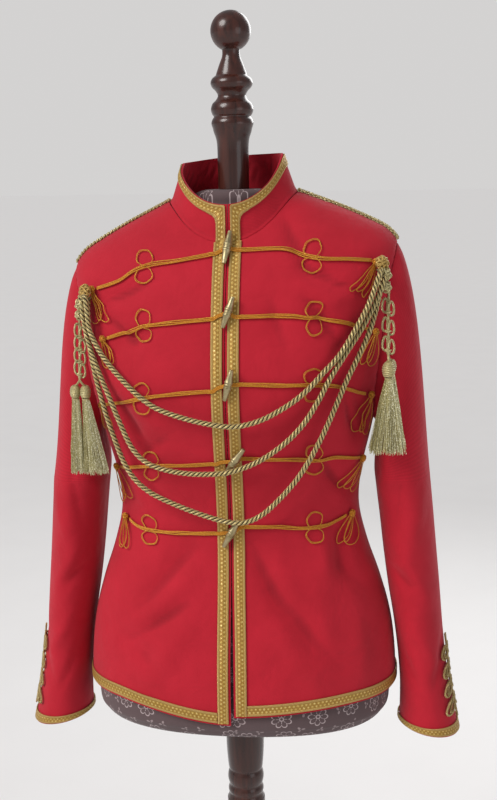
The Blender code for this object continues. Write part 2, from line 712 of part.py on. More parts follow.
def frame_from(tangent, normal):
    across = tangent.cross(normal).normalized()
    return across, across.cross(tangent).normalized()


def tube_rings(path, widths, heights, sides=6, closed=False):
    """Rings of an oval tube along (point, normal) pairs, wide along the cloth and tall away from it."""
    rings = []
    count = len(path)
    for i, (point, normal) in enumerate(path):
        ahead = path[(i + 1) % count if closed else min(i + 1, count - 1)][0]
        behind = path[(i - 1) % count if closed else max(i - 1, 0)][0]
        across, up = frame_from((ahead - behind).normalized(), normal)
        ring = []
        for s in range(sides):
            angle = 2.0 * math.pi * (s + 0.5) / sides
            ring.append(point + across * (widths[i] * math.cos(angle)) + up * (heights[i] * math.sin(angle)))
        rings.append(ring)
    return rings


def ring_mesh(name, rings, finish):
    """Closed ring-shaped body: the last ring joins the first."""
    sides, count = len(rings[0]), len(rings)
    vertices = [p for ring in rings for p in ring]
    faces = []
    for r in range(count):
        n = (r + 1) % count
        for s in range(sides):
            t = (s + 1) % sides
            faces.append([r * sides + s, r * sides + t, n * sides + t, n * sides + s])
    return add_object(name, vertices, faces, finish)


def fuse(first, others):
    """Join the other bodies into the first by Boolean union and drop them."""
    for other in others:
        step = first.modifiers.new("fuse_" + other.name, "BOOLEAN")
        step.operation = "UNION"
        step.object = other
        step.solver = "MANIFOLD"
    graph = bpy.context.evaluated_depsgraph_get()
    joined = bpy.data.meshes.new_from_object(first.evaluated_get(graph))
    first.modifiers.clear()
    first.data = joined
    for other in others:
        bpy.data.objects.remove(other, do_unlink=True)
    return first


def polyline(points, count):
    """Evenly spaced points along a Catmull-Rom curve through the points."""
    fine = [Vector(catmull(points, (len(points) - 1) * k / 240.0)) for k in range(241)]
    reach = [0.0]
    for a, b in zip(fine, fine[1:]):
        reach.append(reach[-1] + (b - a).length)
    out, j = [], 0
    for k in range(count):
        want = reach[-1] * k / (count - 1)
        while j < 239 and reach[j + 1] < want:
            j += 1
        f = (want - reach[j]) / max(reach[j + 1] - reach[j], 1e-9)
        out.append(fine[j].lerp(fine[j + 1], min(max(f, 0.0), 1.0)))
    return out


BAR_HALF_WIDTH = 0.0030    # three cords side by side
BAR_HALF_HEIGHT = 0.0010
LOOP_CORD = 0.0011         # half thickness of the cords in a loop
LOOP_ACROSS = 0.0105
LOOP_TALL = 0.0098
LOOP_LIFT = 0.0105         # a loop's centre above or below the bar
LOOP_POINTS = 7
WAIST_ROW = 4              # this row crosses the folds at the waist, so it has closer stations

# Frog rows: side, row, stations of the bar as x and height, x of its two loops
FROGS = [
    ("right", 1, [(-0.0195, 1.3885), (-0.065, 1.3835), (-0.095, 1.3815), (-0.118, 1.3755), (-0.138, 1.3640),
                  (-0.168, 1.3560)], -0.1055),
    ("right", 2, [(-0.0195, 1.3125), (-0.095, 1.3090), (-0.116, 1.3040), (-0.152, 1.2940)], -0.1035),
    ("right", 3, [(-0.0195, 1.2260), (-0.062, 1.2240), (-0.095, 1.2200), (-0.135, 1.2110), (-0.158, 1.2055)], -0.1035),
    ("right", 4, [(-0.0195, 1.1310), (-0.060, 1.1280), (-0.097, 1.1250), (-0.148, 1.1150)], -0.1010),
    ("right", 5, [(-0.0195, 1.0360), (-0.065, 1.0340), (-0.102, 1.0330), (-0.125, 1.0350), (-0.138, 1.0410)], -0.1085),
    ("left", 1, [(0.0195, 1.3910), (0.067, 1.3890), (0.091, 1.3815), (0.116, 1.3740), (0.150, 1.3700),
                 (0.172, 1.3660)], 0.1060),
    ("left", 2, [(0.0195, 1.3130), (0.077, 1.3100), (0.099, 1.3060), (0.120, 1.3030), (0.156, 1.2920),
                 (0.174, 1.2830)], 0.1080),
    ("left", 3, [(0.0195, 1.2330), (0.060, 1.2300), (0.097, 1.2275), (0.123, 1.2245), (0.141, 1.2190),
                 (0.168, 1.2060)], 0.1050),
    ("left", 4, [(0.0195, 1.1380), (0.060, 1.1350), (0.096, 1.1320), (0.114, 1.1285), (0.132, 1.1300),
                 (0.157, 1.1230)], 0.1060),
    ("left", 5, [(0.0195, 1.0450), (0.060, 1.0440), (0.094, 1.0400), (0.119, 1.0405), (0.134, 1.0440),
                 (0.143, 1.0480)], 0.1045),
]


def height_on_line(line, x):
    """Height at x of a line of points that runs away from the centre front."""
    for a, b in zip(line, line[1:]):
        if abs(a.x) <= abs(x) <= abs(b.x):
            return a.z + (b.z - a.z) * (x - a.x) / (b.x - a.x)
    return line[-1].z


for word, row, bar, loop_x in FROGS:
    name = "frog_%d_%s" % (row, word)
    stations = 10 if row == WAIST_ROW else 7
    line = polyline([(x, 0.0, z) for x, z in bar], stations)
    path = [at_xz(p.x, p.z, CORD_GAP + BAR_HALF_HEIGHT) for p in line]
    count = len(path)
    rings = tube_rings(path, [BAR_HALF_WIDTH] * count, [BAR_HALF_HEIGHT] * count, 4)
    frog = loft(name, rings, FROG_CORD)
    parts = []
    crossing = height_on_line(line, loop_x)
    for part_name, lift in (("upper", LOOP_LIFT), ("lower", -LOOP_LIFT)):
        path = []
        for k in range(LOOP_POINTS):
            angle = 2.0 * math.pi * k / LOOP_POINTS
            path.append(at_xz(loop_x + LOOP_ACROSS * math.cos(angle), crossing + lift + LOOP_TALL * math.sin(angle),
                              CORD_GAP + LOOP_CORD * 1.3))
        thick = [LOOP_CORD] * LOOP_POINTS
        rings = tube_rings(path, thick, thick, 4, closed=True)
        parts.append(ring_mesh(name + part_name, rings, FROG_CORD))
    fuse(frog, parts)


# End knots with hanging loops: side, row, knot's x and height, then the low end of each of two loops
DROPS = [
    ("right", 1, (-0.1735, 1.3545), (-0.169, 1.312), (-0.155, 1.313)),
    ("right", 2, (-0.1565, 1.2925), (-0.151, 1.256), (-0.142, 1.262)),
    ("right", 3, (-0.1630, 1.2040), (-0.163, 1.168), (-0.154, 1.172)),
    ("right", 4, (-0.1525, 1.1140), (-0.134, 1.072), (-0.147, 1.062)),
    ("right", 5, (-0.1425, 1.0435), (-0.152, 1.000), (-0.142, 1.002)),
    ("left", 1, (0.1770, 1.3630), (0.1570, 1.330), (0.1710, 1.3235)),
    ("left", 2, (0.1790, 1.2800), (0.164, 1.244), (0.174, 1.240)),
    ("left", 3, (0.1730, 1.2035), (0.157, 1.158), (0.166, 1.152)),
    ("left", 4, (0.1620, 1.1215), (0.138, 1.088), (0.154, 1.080)),
    ("left", 5, (0.1475, 1.0500), (0.140, 1.012), (0.152, 1.008)),
]
KNOT_RADIUS = 0.0042
DROP_CORD = 0.0009
DROP_SPREAD = 0.0046       # half width of a hanging loop
DROP_POINTS = 6
DROP_ROOT = 0.0013         # its two ends are this far from the knot's centre


def ball_rings(centre, axis, radius, height, sides, steps):
    """Rings of a ball or a squashed ball round an axis, without points at its poles."""
    across = axis.orthogonal().normalized()
    up = axis.cross(across).normalized()
    rings = []
    for k in range(steps):
        angle = math.radians(-72.0 + 144.0 * k / (steps - 1))
        ring = []
        for s in range(sides):
            turn = 2.0 * math.pi * s / sides
            ring.append(centre + axis * (height * math.sin(angle))
                        + (across * math.cos(turn) + up * math.sin(turn)) * (radius * math.cos(angle)))
        rings.append(ring)
    return rings


for word, row, knot, *ends in DROPS:
    name = "drop_%d_%s" % (row, word)
    point, normal = at_xz(*knot, CORD_GAP + KNOT_RADIUS * 0.75)
    drop = loft(name, ball_rings(point, normal, KNOT_RADIUS, KNOT_RADIUS * 0.75, 6, 3), FROG_CORD)
    parts = []
    for number, (end_x, end_z) in enumerate(ends):
        knot_height = CORD_GAP + KNOT_RADIUS * 0.75
        path = [at_xz(knot[0] + DROP_ROOT, knot[1], knot_height)]
        for k in range(DROP_POINTS):
            angle = 2.0 * math.pi * (k + 0.5) / DROP_POINTS
            along = 0.5 - 0.5 * math.cos(angle)
            x = knot[0] + (end_x - knot[0]) * along + DROP_SPREAD * math.sin(angle)
            z = knot[1] + (end_z - knot[1]) * along
            path.append(at_xz(x, z, CORD_GAP + DROP_CORD * (1.3 + 3.0 * number)))
        path.append(at_xz(knot[0] - DROP_ROOT, knot[1], knot_height))
        thick = [DROP_CORD * 1.2] * len(path)
        parts.append(loft("%s_loop%d" % (name, number), tube_rings(path, thick, thick, 3), FROG_CORD))
    fuse(drop, parts)

# Toggles: x and height of the upper end, x and height of the lower end
TOGGLES = [
    ((0.0035, 1.4110), (-0.0025, 1.3745)),
    ((0.0105, 1.3355), (-0.0020, 1.3010)),
    ((0.0095, 1.2515), (0.0000, 1.2150)),
    ((0.0185, 1.1510), (-0.0040, 1.1180)),
    ((0.0085, 1.0535), (-0.0080, 1.0200)),
]
TOGGLE_OUT = 0.0076
TOGGLE_TILT = 0.0034       # the upper end stands off by this much more
TOGGLE_PROFILE = [(0.0024, 0.00), (0.0029, 0.08), (0.0036, 0.24), (0.0051, 0.42), (0.0043, 0.50),
                  (0.0051, 0.58), (0.0036, 0.76), (0.0029, 0.92), (0.0024, 1.00)]

for row, (top, foot) in enumerate(TOGGLES, 1):
    middle, normal = at_xz(0.5 * (top[0] + foot[0]) + 0.0001, 0.5 * (top[1] + foot[1]), TOGGLE_OUT)
    start, _ = at_xz(top[0] + 0.0001, top[1], TOGGLE_OUT + TOGGLE_TILT)
    end, _ = at_xz(foot[0] - 0.0001, foot[1], TOGGLE_OUT)
    axis = (end - start).normalized()
    length = (end - start).length
    across, up = frame_from(axis, normal)
    rings = []
    for radius, share in TOGGLE_PROFILE:
        centre = middle + axis * (length * (share - 0.5))
        rings.append([centre + (across * math.cos(2 * math.pi * k / 6) + up * math.sin(2 * math.pi * k / 6)) * radius
                      for k in range(6)])
    loft("toggle_%d" % row, rings, TOGGLE_METAL, 60.0)

# Rosettes, swags, chains and tassels
ROSETTES = {"right": (-0.1870, 1.3510), "left": (0.1915, 1.3600)}
ROSETTE_RADIUS = 0.0085
for word, (x, z) in ROSETTES.items():
    point, normal = at_xz(x, z, CORD_GAP + 0.0045)
    loft("rosette_" + word, ball_rings(point, normal, ROSETTE_RADIUS, 0.0043, 10, 4), FROG_CORD)

SWAG_RADIUS = 0.0034
SWAG_POINTS = 22
SWAG_ROUTES = {
    "swag_1": [(-0.180, -0.086, 1.333), (-0.178, -0.088, 1.315), (-0.175, -0.091, 1.295), (-0.164, -0.098, 1.274),
               (-0.150, -0.108, 1.257), (-0.131, -0.120, 1.239), (-0.110, -0.129, 1.221), (-0.086, -0.134, 1.205),
               (-0.055, -0.137, 1.194), (-0.020, -0.139, 1.186), (0.012, -0.139, 1.183), (0.045, -0.137, 1.191),
               (0.078, -0.134, 1.209), (0.101, -0.131, 1.227), (0.120, -0.125, 1.247), (0.140, -0.115, 1.268),
               (0.159, -0.104, 1.298), (0.175, -0.093, 1.328), (0.186, -0.084, 1.358)],
    "swag_2": [(-0.187, -0.080, 1.331), (-0.184, -0.083, 1.305), (-0.177, -0.088, 1.276), (-0.165, -0.097, 1.246),
               (-0.150, -0.107, 1.214), (-0.136, -0.111, 1.180), (-0.123, -0.112, 1.151), (-0.108, -0.114, 1.134),
               (-0.088, -0.118, 1.125), (-0.060, -0.122, 1.120), (-0.030, -0.125, 1.119), (0.000, -0.128, 1.122),
               (0.025, -0.128, 1.130), (0.050, -0.128, 1.143), (0.076, -0.128, 1.163), (0.097, -0.128, 1.186),
               (0.114, -0.127, 1.213), (0.129, -0.121, 1.241), (0.148, -0.108, 1.270), (0.167, -0.096, 1.299),
               (0.183, -0.085, 1.329), (0.1935, -0.079, 1.354)],
    "swag_3": [(-0.181, -0.074, 1.328), (-0.180, -0.077, 1.300), (-0.178, -0.081, 1.270), (-0.171, -0.090, 1.241),
               (-0.163, -0.096, 1.212), (-0.155, -0.099, 1.184), (-0.146, -0.100, 1.156), (-0.136, -0.101, 1.129),
               (-0.122, -0.104, 1.107), (-0.101, -0.108, 1.090), (-0.070, -0.114, 1.077), (-0.038, -0.118, 1.066),
               (-0.005, -0.120, 1.057), (0.020, -0.120, 1.056), (0.042, -0.119, 1.066), (0.064, -0.118, 1.086),
               (0.084, -0.118, 1.109), (0.100, -0.118, 1.133), (0.113, -0.118, 1.157), (0.125, -0.117, 1.182),
               (0.136, -0.114, 1.207), (0.148, -0.108, 1.235), (0.162, -0.098, 1.263), (0.175, -0.089, 1.292),
               (0.184, -0.080, 1.322), (0.190, -0.073, 1.350)],
}
for name, route in SWAG_ROUTES.items():
    curve = bpy.data.curves.new(name, "CURVE")
    curve.dimensions = "3D"
    curve.bevel_depth = SWAG_RADIUS
    curve.bevel_resolution = 2
    curve.use_fill_caps = True
    spline = curve.splines.new("POLY")
    points = polyline(route, SWAG_POINTS)
    spline.points.add(len(points) - 1)
    for slot, point in zip(spline.points, points):
        slot.co = (*point, 1.0)
    swag = bpy.data.objects.new(name, curve)
    curve.materials.append(TWISTED_CORD)
    bpy.context.scene.collection.objects.link(swag)

# Crocheted cord chains: top, foot, half width, links
CHAINS = {
    "right": ((-0.1975, -0.0800, 1.3290), (-0.1920, -0.0860, 1.2240), 0.0062, 6),
    "left": ((0.2045, -0.0790, 1.3500), (0.1990, -0.0880, 1.2590), 0.0066, 6),
}
for word, (top, foot, half_width, links) in CHAINS.items():
    path, widths = [], []
    steps = links * 3
    for k in range(steps + 1):
        f = k / steps
        path.append((Vector(top).lerp(Vector(foot), f), Vector((0.0, -1.0, 0.0))))
        swell = 0.55 + 0.45 * math.cos(2.0 * math.pi * links * f)
        widths.append(half_width * (0.45 + 0.55 * swell) if k < steps else half_width * 0.3)
    rings = tube_rings(path, widths, [0.0034 - 0.0009 * (k % 3 == 1) for k in range(steps + 1)], 5)
    loft("chain_" + word, rings, TWISTED_CORD)

# Tassels: centre of the head, spread of the skirt at its foot across and fore and aft, its length, and how far
# the foot drifts sideways
TASSELS = {
    "tassel_right_outer": ((-0.1985, -0.0860, 1.2120), 0.0090, 0.0095, 0.0960, 0.0015),
    "tassel_right_inner": ((-0.1845, -0.0890, 1.2120), 0.0125, 0.0100, 0.0960, 0.0115),
    "tassel_left_front": ((0.1965, -0.0960, 1.2460), 0.0200, 0.0070, 0.1000, 0.0020),
    "tassel_left_behind": ((0.2030, -0.0800, 1.2480), 0.0170, 0.0065, 0.1010, 0.0000),
}
HEAD_RADIUS = 0.0062
HEAD_HEIGHT = 0.0072
NECK_RADIUS = 0.0046
STRAND_SECTORS = 7


def tassel(name, head, spread_x, spread_y, length, drift):
    """Turned head whose flat underside carries the roots of the skirt's locks."""
    head = Vector(head)
    profile = [(0.0022, HEAD_HEIGHT), (HEAD_RADIUS * 0.75, HEAD_HEIGHT * 0.72), (HEAD_RADIUS, HEAD_HEIGHT * 0.15),
               (HEAD_RADIUS * 0.86, -HEAD_HEIGHT * 0.55), (NECK_RADIUS * 0.82, -HEAD_HEIGHT * 0.95),
               (NECK_RADIUS * 1.08, -HEAD_HEIGHT * 1.5)]
    work = bmesh.new()
    sectors = STRAND_SECTORS
    rings = []
    for radius, z in profile:
        rings.append([work.verts.new(head + Vector((radius * math.cos(2 * math.pi * s / sectors),
                                                    radius * math.sin(2 * math.pi * s / sectors), z)))
                      for s in range(sectors)])
    root_z = profile[-1][1]
    root_radius = profile[-1][0]
    for share in (0.62, 0.24):
        rings.append([work.verts.new(head + Vector((root_radius * share * math.cos(2 * math.pi * s / sectors),
                                                    root_radius * share * math.sin(2 * math.pi * s / sectors),
                                                    root_z)))
                      for s in range(sectors)])
    work.faces.new(rings[0])
    roots = []
    for r in range(len(rings) - 1):
        for s in range(sectors):
            t = (s + 1) % sectors
            face = work.faces.new([rings[r][s], rings[r + 1][s], rings[r + 1][t], rings[r][t]])
            if r >= len(profile) - 1:
                roots.append(face)
    work.faces.new(rings[-1][::-1])
    bmesh.ops.recalc_face_normals(work, faces=work.faces)
    bmesh.ops.inset_individual(work, faces=roots, thickness=root_radius * 0.045, use_even_offset=True)
    for number, root in enumerate(roots):
        centre = root.calc_center_median() - head
        pulled = bmesh.ops.extrude_discrete_faces(work, faces=[root])["faces"][0]
        away = Vector((centre.x / root_radius * spread_x + drift, centre.y / root_radius * spread_y,
                       -length * (1.0 - 0.012 * (number % 3))))
        grown = Vector((spread_x / root_radius, spread_y / root_radius))
        for corner in pulled.verts:
            offset = corner.co - head - centre
            corner.co = head + Vector((0.0, 0.0, root_z)) + away + Vector((offset.x * grown.x * 0.80,
                                                                         offset.y * grown.y * 0.80, 0.0))
    mesh = bpy.data.meshes.new(name)
    work.to_mesh(mesh)
    work.free()
    mesh.materials.append(TWISTED_CORD)
    bpy.context.scene.collection.objects.link(bpy.data.objects.new(name, mesh))


for name, sizes in TASSELS.items():
    tassel(name, *sizes)

# Plaited cords along the shoulder seams
SHOULDER_CORD_HALF = 0.0055
for side, word in ((1.0, "left"), (-1.0, "right")):
    path, widths = [], []
    top_level, end_level = level_at(1.4530), level_at(1.3870)
    steps = 12
    for k in range(steps + 1):
        level = top_level + (end_level - top_level) * k / steps
        path.append(surface(side, level, CORD_GAP + 0.0030))
        widths.append(SHOULDER_CORD_HALF * (1.0 - 0.18 * (k % 2)))
    loft("shoulder_cord_" + word, tube_rings(path, widths, [0.0022] * (steps + 1), 6), TWISTED_CORD)

# Cuff braid and the looped cord ornament on the outer side of each cuff
CUFF_KNOT_TOP_Z = 0.872
CUFF_KNOT_FOOT_Z = 0.758
CUFF_TURN = 0.035          # the ornament sits a little to the front of the sleeve's outer side
CUFF_PAIRS = 4
CUFF_LOOP_POINTS = 5
CUFF_CORD = 0.0016         # half thickness of its cord
for side, word in ((1.0, "left"), (-1.0, "right")):
    last = float(len(SLEEVE_STATIONS))
    foot_v = last - HEM_MARGIN / (SLEEVE_STATIONS[-2][0] - SLEEVE_STATIONS[-1][0])
    top_v = foot_v - BRAID_WIDTH / (SLEEVE_STATIONS[-2][0] - SLEEVE_STATIONS[-1][0])
    outer, inner = sleeve_grids(side, [top_v, foot_v], 16, BRAID_OUT, BRAID_THICK)
    wall("braid_cuff_" + word, outer, inner, GOLD_BRAID, round_in_u=True)

    name = "cuff_knot_" + word
    path = []
    for k in range(9):
        z = CUFF_KNOT_TOP_Z + (CUFF_KNOT_FOOT_Z - CUFF_KNOT_TOP_Z) * k / 8
        path.append(sleeve_surface(side, CUFF_TURN, sleeve_v_at(z), CORD_GAP + 0.0016))
    stem = loft(name, tube_rings(path, [0.0026] * 9, [0.0015] * 9, 4), TWISTED_CORD)
    parts = []
    for pair in range(CUFF_PAIRS):
        centre_z = CUFF_KNOT_TOP_Z - 0.020 - 0.0235 * pair
        reach = 0.0085 + 0.0016 * pair
        for hand in (1.0, -1.0):
            path = []
            for k in range(CUFF_LOOP_POINTS):
                angle = math.pi + 2.0 * math.pi * k / CUFF_LOOP_POINTS
                along = reach * (1.0 + math.cos(angle)) + 0.0008
                turn = CUFF_TURN + hand * along / (2.0 * math.pi * 0.043)
                z = centre_z + 0.0062 * math.sin(angle) - along * 0.35
                path.append(sleeve_surface(side, turn, sleeve_v_at(z), CORD_GAP + 0.0016))
            thick = [CUFF_CORD] * CUFF_LOOP_POINTS
            rings = tube_rings(path, thick, thick, 3, closed=True)
            parts.append(ring_mesh("%s_%d_%d" % (name, pair, hand), rings, TWISTED_CORD))
    fuse(stem, parts)
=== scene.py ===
"""Looks of the circus jacket on its limbless dress form and turned stand.

Metres, +Z up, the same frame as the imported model. The jacket faces -Y and +X is the wearer's left.
Each section makes one kind of piece: its sizes, its mesh, its material and its place in the frame.
"""
import math

import bmesh
import bpy
import numpy as np
from mathutils import Matrix, Vector


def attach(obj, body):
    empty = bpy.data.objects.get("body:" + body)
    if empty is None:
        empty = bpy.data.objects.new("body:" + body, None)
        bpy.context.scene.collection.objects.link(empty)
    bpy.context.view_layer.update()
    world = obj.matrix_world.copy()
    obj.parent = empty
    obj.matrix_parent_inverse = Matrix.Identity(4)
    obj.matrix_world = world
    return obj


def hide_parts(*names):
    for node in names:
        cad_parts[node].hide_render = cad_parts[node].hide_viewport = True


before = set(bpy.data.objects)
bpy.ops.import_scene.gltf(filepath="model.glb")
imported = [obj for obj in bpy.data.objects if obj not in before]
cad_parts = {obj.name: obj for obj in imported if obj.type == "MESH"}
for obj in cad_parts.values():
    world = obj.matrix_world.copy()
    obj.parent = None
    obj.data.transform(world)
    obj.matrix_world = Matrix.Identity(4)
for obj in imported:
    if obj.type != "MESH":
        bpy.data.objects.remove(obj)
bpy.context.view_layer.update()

# ---------------------------------------------------------------- camera
# The photograph is taken from a standing person's eye height, a little to the wearer's left and looking down.
CAMERA_PLACE = Vector((0.1995, -1.588, 1.500))
CAMERA_TURN = math.radians(6.67)
CAMERA_PITCH = math.radians(11.0)
CAMERA_ROLL = math.radians(-1.1)
FOCAL_PIXELS = 1225.0
IMAGE_HEIGHT = 800.0

camera_data = bpy.data.cameras.new("camera")
camera_data.sensor_width = 36.0
camera_data.lens = FOCAL_PIXELS / IMAGE_HEIGHT * camera_data.sensor_width
camera_data.clip_start = 0.05
camera = bpy.data.objects.new("camera", camera_data)
bpy.context.scene.collection.objects.link(camera)
bpy.context.scene.camera = camera
ahead = Vector((-math.sin(CAMERA_TURN) * math.cos(CAMERA_PITCH), math.cos(CAMERA_TURN) * math.cos(CAMERA_PITCH),
                -math.sin(CAMERA_PITCH)))
right = Vector((math.cos(CAMERA_TURN), math.sin(CAMERA_TURN), 0.0))
up = right.cross(ahead)
turned_right = right * math.cos(CAMERA_ROLL) + up * math.sin(CAMERA_ROLL)
turned_up = up * math.cos(CAMERA_ROLL) - right * math.sin(CAMERA_ROLL)
turned = Matrix((turned_right, turned_up, -ahead)).transposed().to_4x4()
camera.matrix_world = Matrix.Translation(CAMERA_PLACE) @ turned


# ---------------------------------------------------------------- twisted ropes
# Three free ropes of pale gold rayon and metal thread hang from rosette to rosette. Each is laid from three
# strands, modelled as three tubes wound round the rope's route.
STRAND_PLACE = {2: 0.50, 3: 0.535}     # the strands' middles, by their number, as shares of the cord's radius
STRAND_FULL = 1.06                     # how much thicker a strand is than one that just touches the next


class Shape:
    """Points, quads, caps and UVs of one piece, gathered from grids of points."""

    def __init__(self):
        self.points = []
        self.quads = []
        self.uvs = []
        self.caps = []
        self.count = 0

    def grid(self, points, uv, round_rows=False, round_columns=False, caps=False):
        """Add points[row, column]; uv has one row or column more where the grid is round."""
        rows, columns = points.shape[:2]
        row_steps = rows if round_rows else rows - 1
        column_steps = columns if round_columns else columns - 1
        r, c = np.meshgrid(np.arange(row_steps), np.arange(column_steps), indexing="ij")
        r, c = r.ravel(), c.ravel()

        def place(row, column):
            return self.count + (row % rows) * columns + column % columns

        self.quads.append(np.stack([place(r, c), place(r, c + 1), place(r + 1, c + 1), place(r + 1, c)], axis=1))
        self.uvs.append(np.stack([uv[r, c], uv[r, c + 1], uv[r + 1, c + 1], uv[r + 1, c]], axis=1))
        if caps:
            first = np.arange(columns) + self.count
            self.caps.append(first[::-1])
            self.caps.append(first + (rows - 1) * columns)
        self.points.append(points.reshape(-1, 3))
        self.count += rows * columns

    def solid(self, rings):
        """Add closed rings with a cap at each end."""
        rings = np.asarray(rings)
        self.grid(rings, np.zeros((len(rings), rings.shape[1] + 1, 2)), False, True, True)

    def tube(self, path, radius, sides=8, closed=False, normals=None, flat=1.0, shade=None):
        """Add a tube along a path; flat is its height over its width where normals are given."""
        path = np.asarray(path, dtype=float)
        side, rise = side_and_rise(path, closed, normals)
        angles = 2.0 * np.pi * (np.arange(sides) + 0.5) / sides
        radius = np.broadcast_to(np.asarray(radius, dtype=float), (len(path),))[:, None, None]
        ring = (path[:, None] + radius * (np.cos(angles)[None, :, None] * side[:, None]
                                          + flat * np.sin(angles)[None, :, None] * rise[:, None]))
        reach = reach_along(np.vstack([path, path[:1]]))[: len(path) + int(closed)]
        if shade is not None:
            reach = np.full_like(reach, shade)
        uv = np.stack(np.broadcast_arrays(reach[:, None], np.linspace(0.0, 1.0, sides + 1)[None]), axis=2)
        self.grid(ring, uv, closed, True, not closed)

    def twisted(self, path, radius, strands, pitch, sides=6, closed=False, per_turn=8):
        """Add a cord of twisted strands whose outside has the given radius."""
        path = resample(np.asarray(path, dtype=float), pitch / per_turn, closed)
        side, rise = side_and_rise(path, closed, None)
        reach = reach_along(path)
        turns = reach / pitch
        if closed:
            whole = reach[-1] + np.linalg.norm(path[0] - path[-1])
            turns = reach / whole * max(round(whole / pitch), 1)
        share = STRAND_PLACE[strands]
        for strand in range(strands):
            angle = 2.0 * np.pi * (turns + strand / strands)
            offset = side * np.cos(angle)[:, None] + rise * np.sin(angle)[:, None]
            self.tube(path + offset * radius * share, radius * (1.0 - share) * STRAND_FULL, sides, closed, offset)


def unit(vectors):
    return vectors / np.maximum(np.linalg.norm(vectors, axis=-1, keepdims=True), 1e-12)


def reach_along(path):
    """Metres from the start of a path to each of its points."""
    return np.concatenate([[0.0], np.cumsum(np.linalg.norm(np.diff(path, axis=0), axis=1))])


def round_angles(count):
    """Angles of even steps round a circle."""
    return 2.0 * np.pi * np.arange(count) / count


def side_and_rise(path, closed, normals):
    """Two unit directions square to a path: from given normals, or carried along it without twist."""
    if closed:
        tangent = unit(np.roll(path, -1, axis=0) - np.roll(path, 1, axis=0))
    else:
        tangent = unit(np.gradient(path, axis=0))
    if normals is not None:
        side = unit(np.cross(tangent, normals))
        return side, np.cross(side, tangent)
    rise = np.zeros_like(path)
    seed = np.array([0.0, -1.0, 0.0]) if abs(tangent[0][1]) < 0.8 else np.array([0.0, 0.0, 1.0])
    for i in range(len(path)):
        seed = unit(seed - tangent[i] * np.dot(seed, tangent[i]))
        rise[i] = seed
    side = np.cross(tangent, rise)
    if closed:
        end = unit(seed - tangent[0] * np.dot(seed, tangent[0]))
        twist = math.atan2(float(np.dot(np.cross(rise[0], end), tangent[0])), float(np.dot(rise[0], end)))
        angle = -twist * np.arange(len(path)) / len(path)
        rise, side = (rise * np.cos(angle)[:, None] - side * np.sin(angle)[:, None],
                      side * np.cos(angle)[:, None] + rise * np.sin(angle)[:, None])
    return side, rise


def catmull(rows, t):
    """Points at t (0 to len-1) on a Catmull-Rom curve through rows of numbers."""
    rows = np.asarray(rows, dtype=float)
    last = len(rows) - 1
    t = np.clip(np.asarray(t, dtype=float), 0.0, last)
    i = np.minimum(t.astype(int), last - 1)
    f = (t - i)[..., None]
    p0, p1, p2, p3 = rows[np.maximum(i - 1, 0)], rows[i], rows[i + 1], rows[np.minimum(i + 2, last)]
    return 0.5 * (2 * p1 + (p2 - p0) * f + (2 * p0 - 5 * p1 + 4 * p2 - p3) * f ** 2
                  + (3 * p1 - p0 - 3 * p2 + p3) * f ** 3)


def resample(path, spacing, closed=False):
    """Evenly spaced points on straight runs through the path."""
    run = np.vstack([path, path[:1]]) if closed else path
    reach = reach_along(run)
    count = max(int(round(reach[-1] / spacing)), 3)
    wanted = np.linspace(0.0, reach[-1], count + 1)
    if closed:
        wanted = wanted[:-1]
    return np.stack([np.interp(wanted, reach, run[:, k]) for k in range(3)], axis=1)


def curve_through(points, spacing):
    """Smooth curve through the points, evenly spaced."""
    points = np.asarray(points, dtype=float)
    return resample(catmull(points, np.linspace(0.0, len(points) - 1.0, 40 * len(points))), spacing)


def make_piece(name, shape, finish, nodes=(), sharp=55.0, weld=False):
    """Turn a Shape into an object that rides on the part and stands for the named CAD nodes."""
    mesh = bpy.data.meshes.new(name)
    quads = np.concatenate(shape.quads).tolist()
    mesh.from_pydata(np.concatenate(shape.points).tolist(), [], quads + [cap.tolist() for cap in shape.caps])
    layer = mesh.uv_layers.new(name="UVMap")
    uv = np.zeros((len(mesh.loops), 2))
    flat_uv = np.concatenate(shape.uvs).reshape(-1, 2)
    uv[: len(flat_uv)] = flat_uv
    layer.data.foreach_set("uv", uv.ravel())
    work = bmesh.new()
    work.from_mesh(mesh)
    if weld:
        bmesh.ops.remove_doubles(work, verts=work.verts, dist=0.00001)
    bmesh.ops.recalc_face_normals(work, faces=work.faces)
    work.to_mesh(mesh)
    work.free()
    mesh.shade_smooth()
    mesh.set_sharp_from_angle(angle=math.radians(sharp))
    mesh.materials.append(finish)
    made = bpy.data.objects.new(name, mesh)
    bpy.context.scene.collection.objects.link(made)
    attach(made, "root")
    if nodes:
        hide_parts(*nodes)
    return made


class Value:
    """One output of a shader node. Sums, products and the like of it add the nodes that work them out."""

    def __init__(self, tree, socket):
        self.tree, self.socket = tree, socket

    def __getitem__(self, name):
        """Another output of the same node."""
        return Value(self.tree, self.socket.node.outputs[name])

    def work(self, operation, *others):
        return add_node(self.tree, "ShaderNodeMath", dict(enumerate((self, *others))), operation=operation)

    def __add__(self, other):
        return self.work("ADD", other)

    def __sub__(self, other):
        return self.work("SUBTRACT", other)

    def __mul__(self, other):
        return self.work("MULTIPLY", other)

    def __truediv__(self, other):
        return self.work("DIVIDE", other)

    def __abs__(self):
        return self.work("ABSOLUTE")

    def times_plus(self, factor, more):
        return self.work("MULTIPLY_ADD", factor, more)

    def sine(self):
        return self.work("SINE")


def add_node(tree, kind, inputs=None, gives=0, **settings):
    """Add a shader node and return one of its outputs; each input takes a plain value or a Value."""
    made = tree.nodes.new(kind)
    for key, value in settings.items():
        setattr(made, key, value)
    for key, value in (inputs or {}).items():
        if isinstance(value, Value):
            tree.links.new(value.socket, made.inputs[key])
        else:
            made.inputs[key].default_value = value
    return Value(tree, made.outputs[gives])


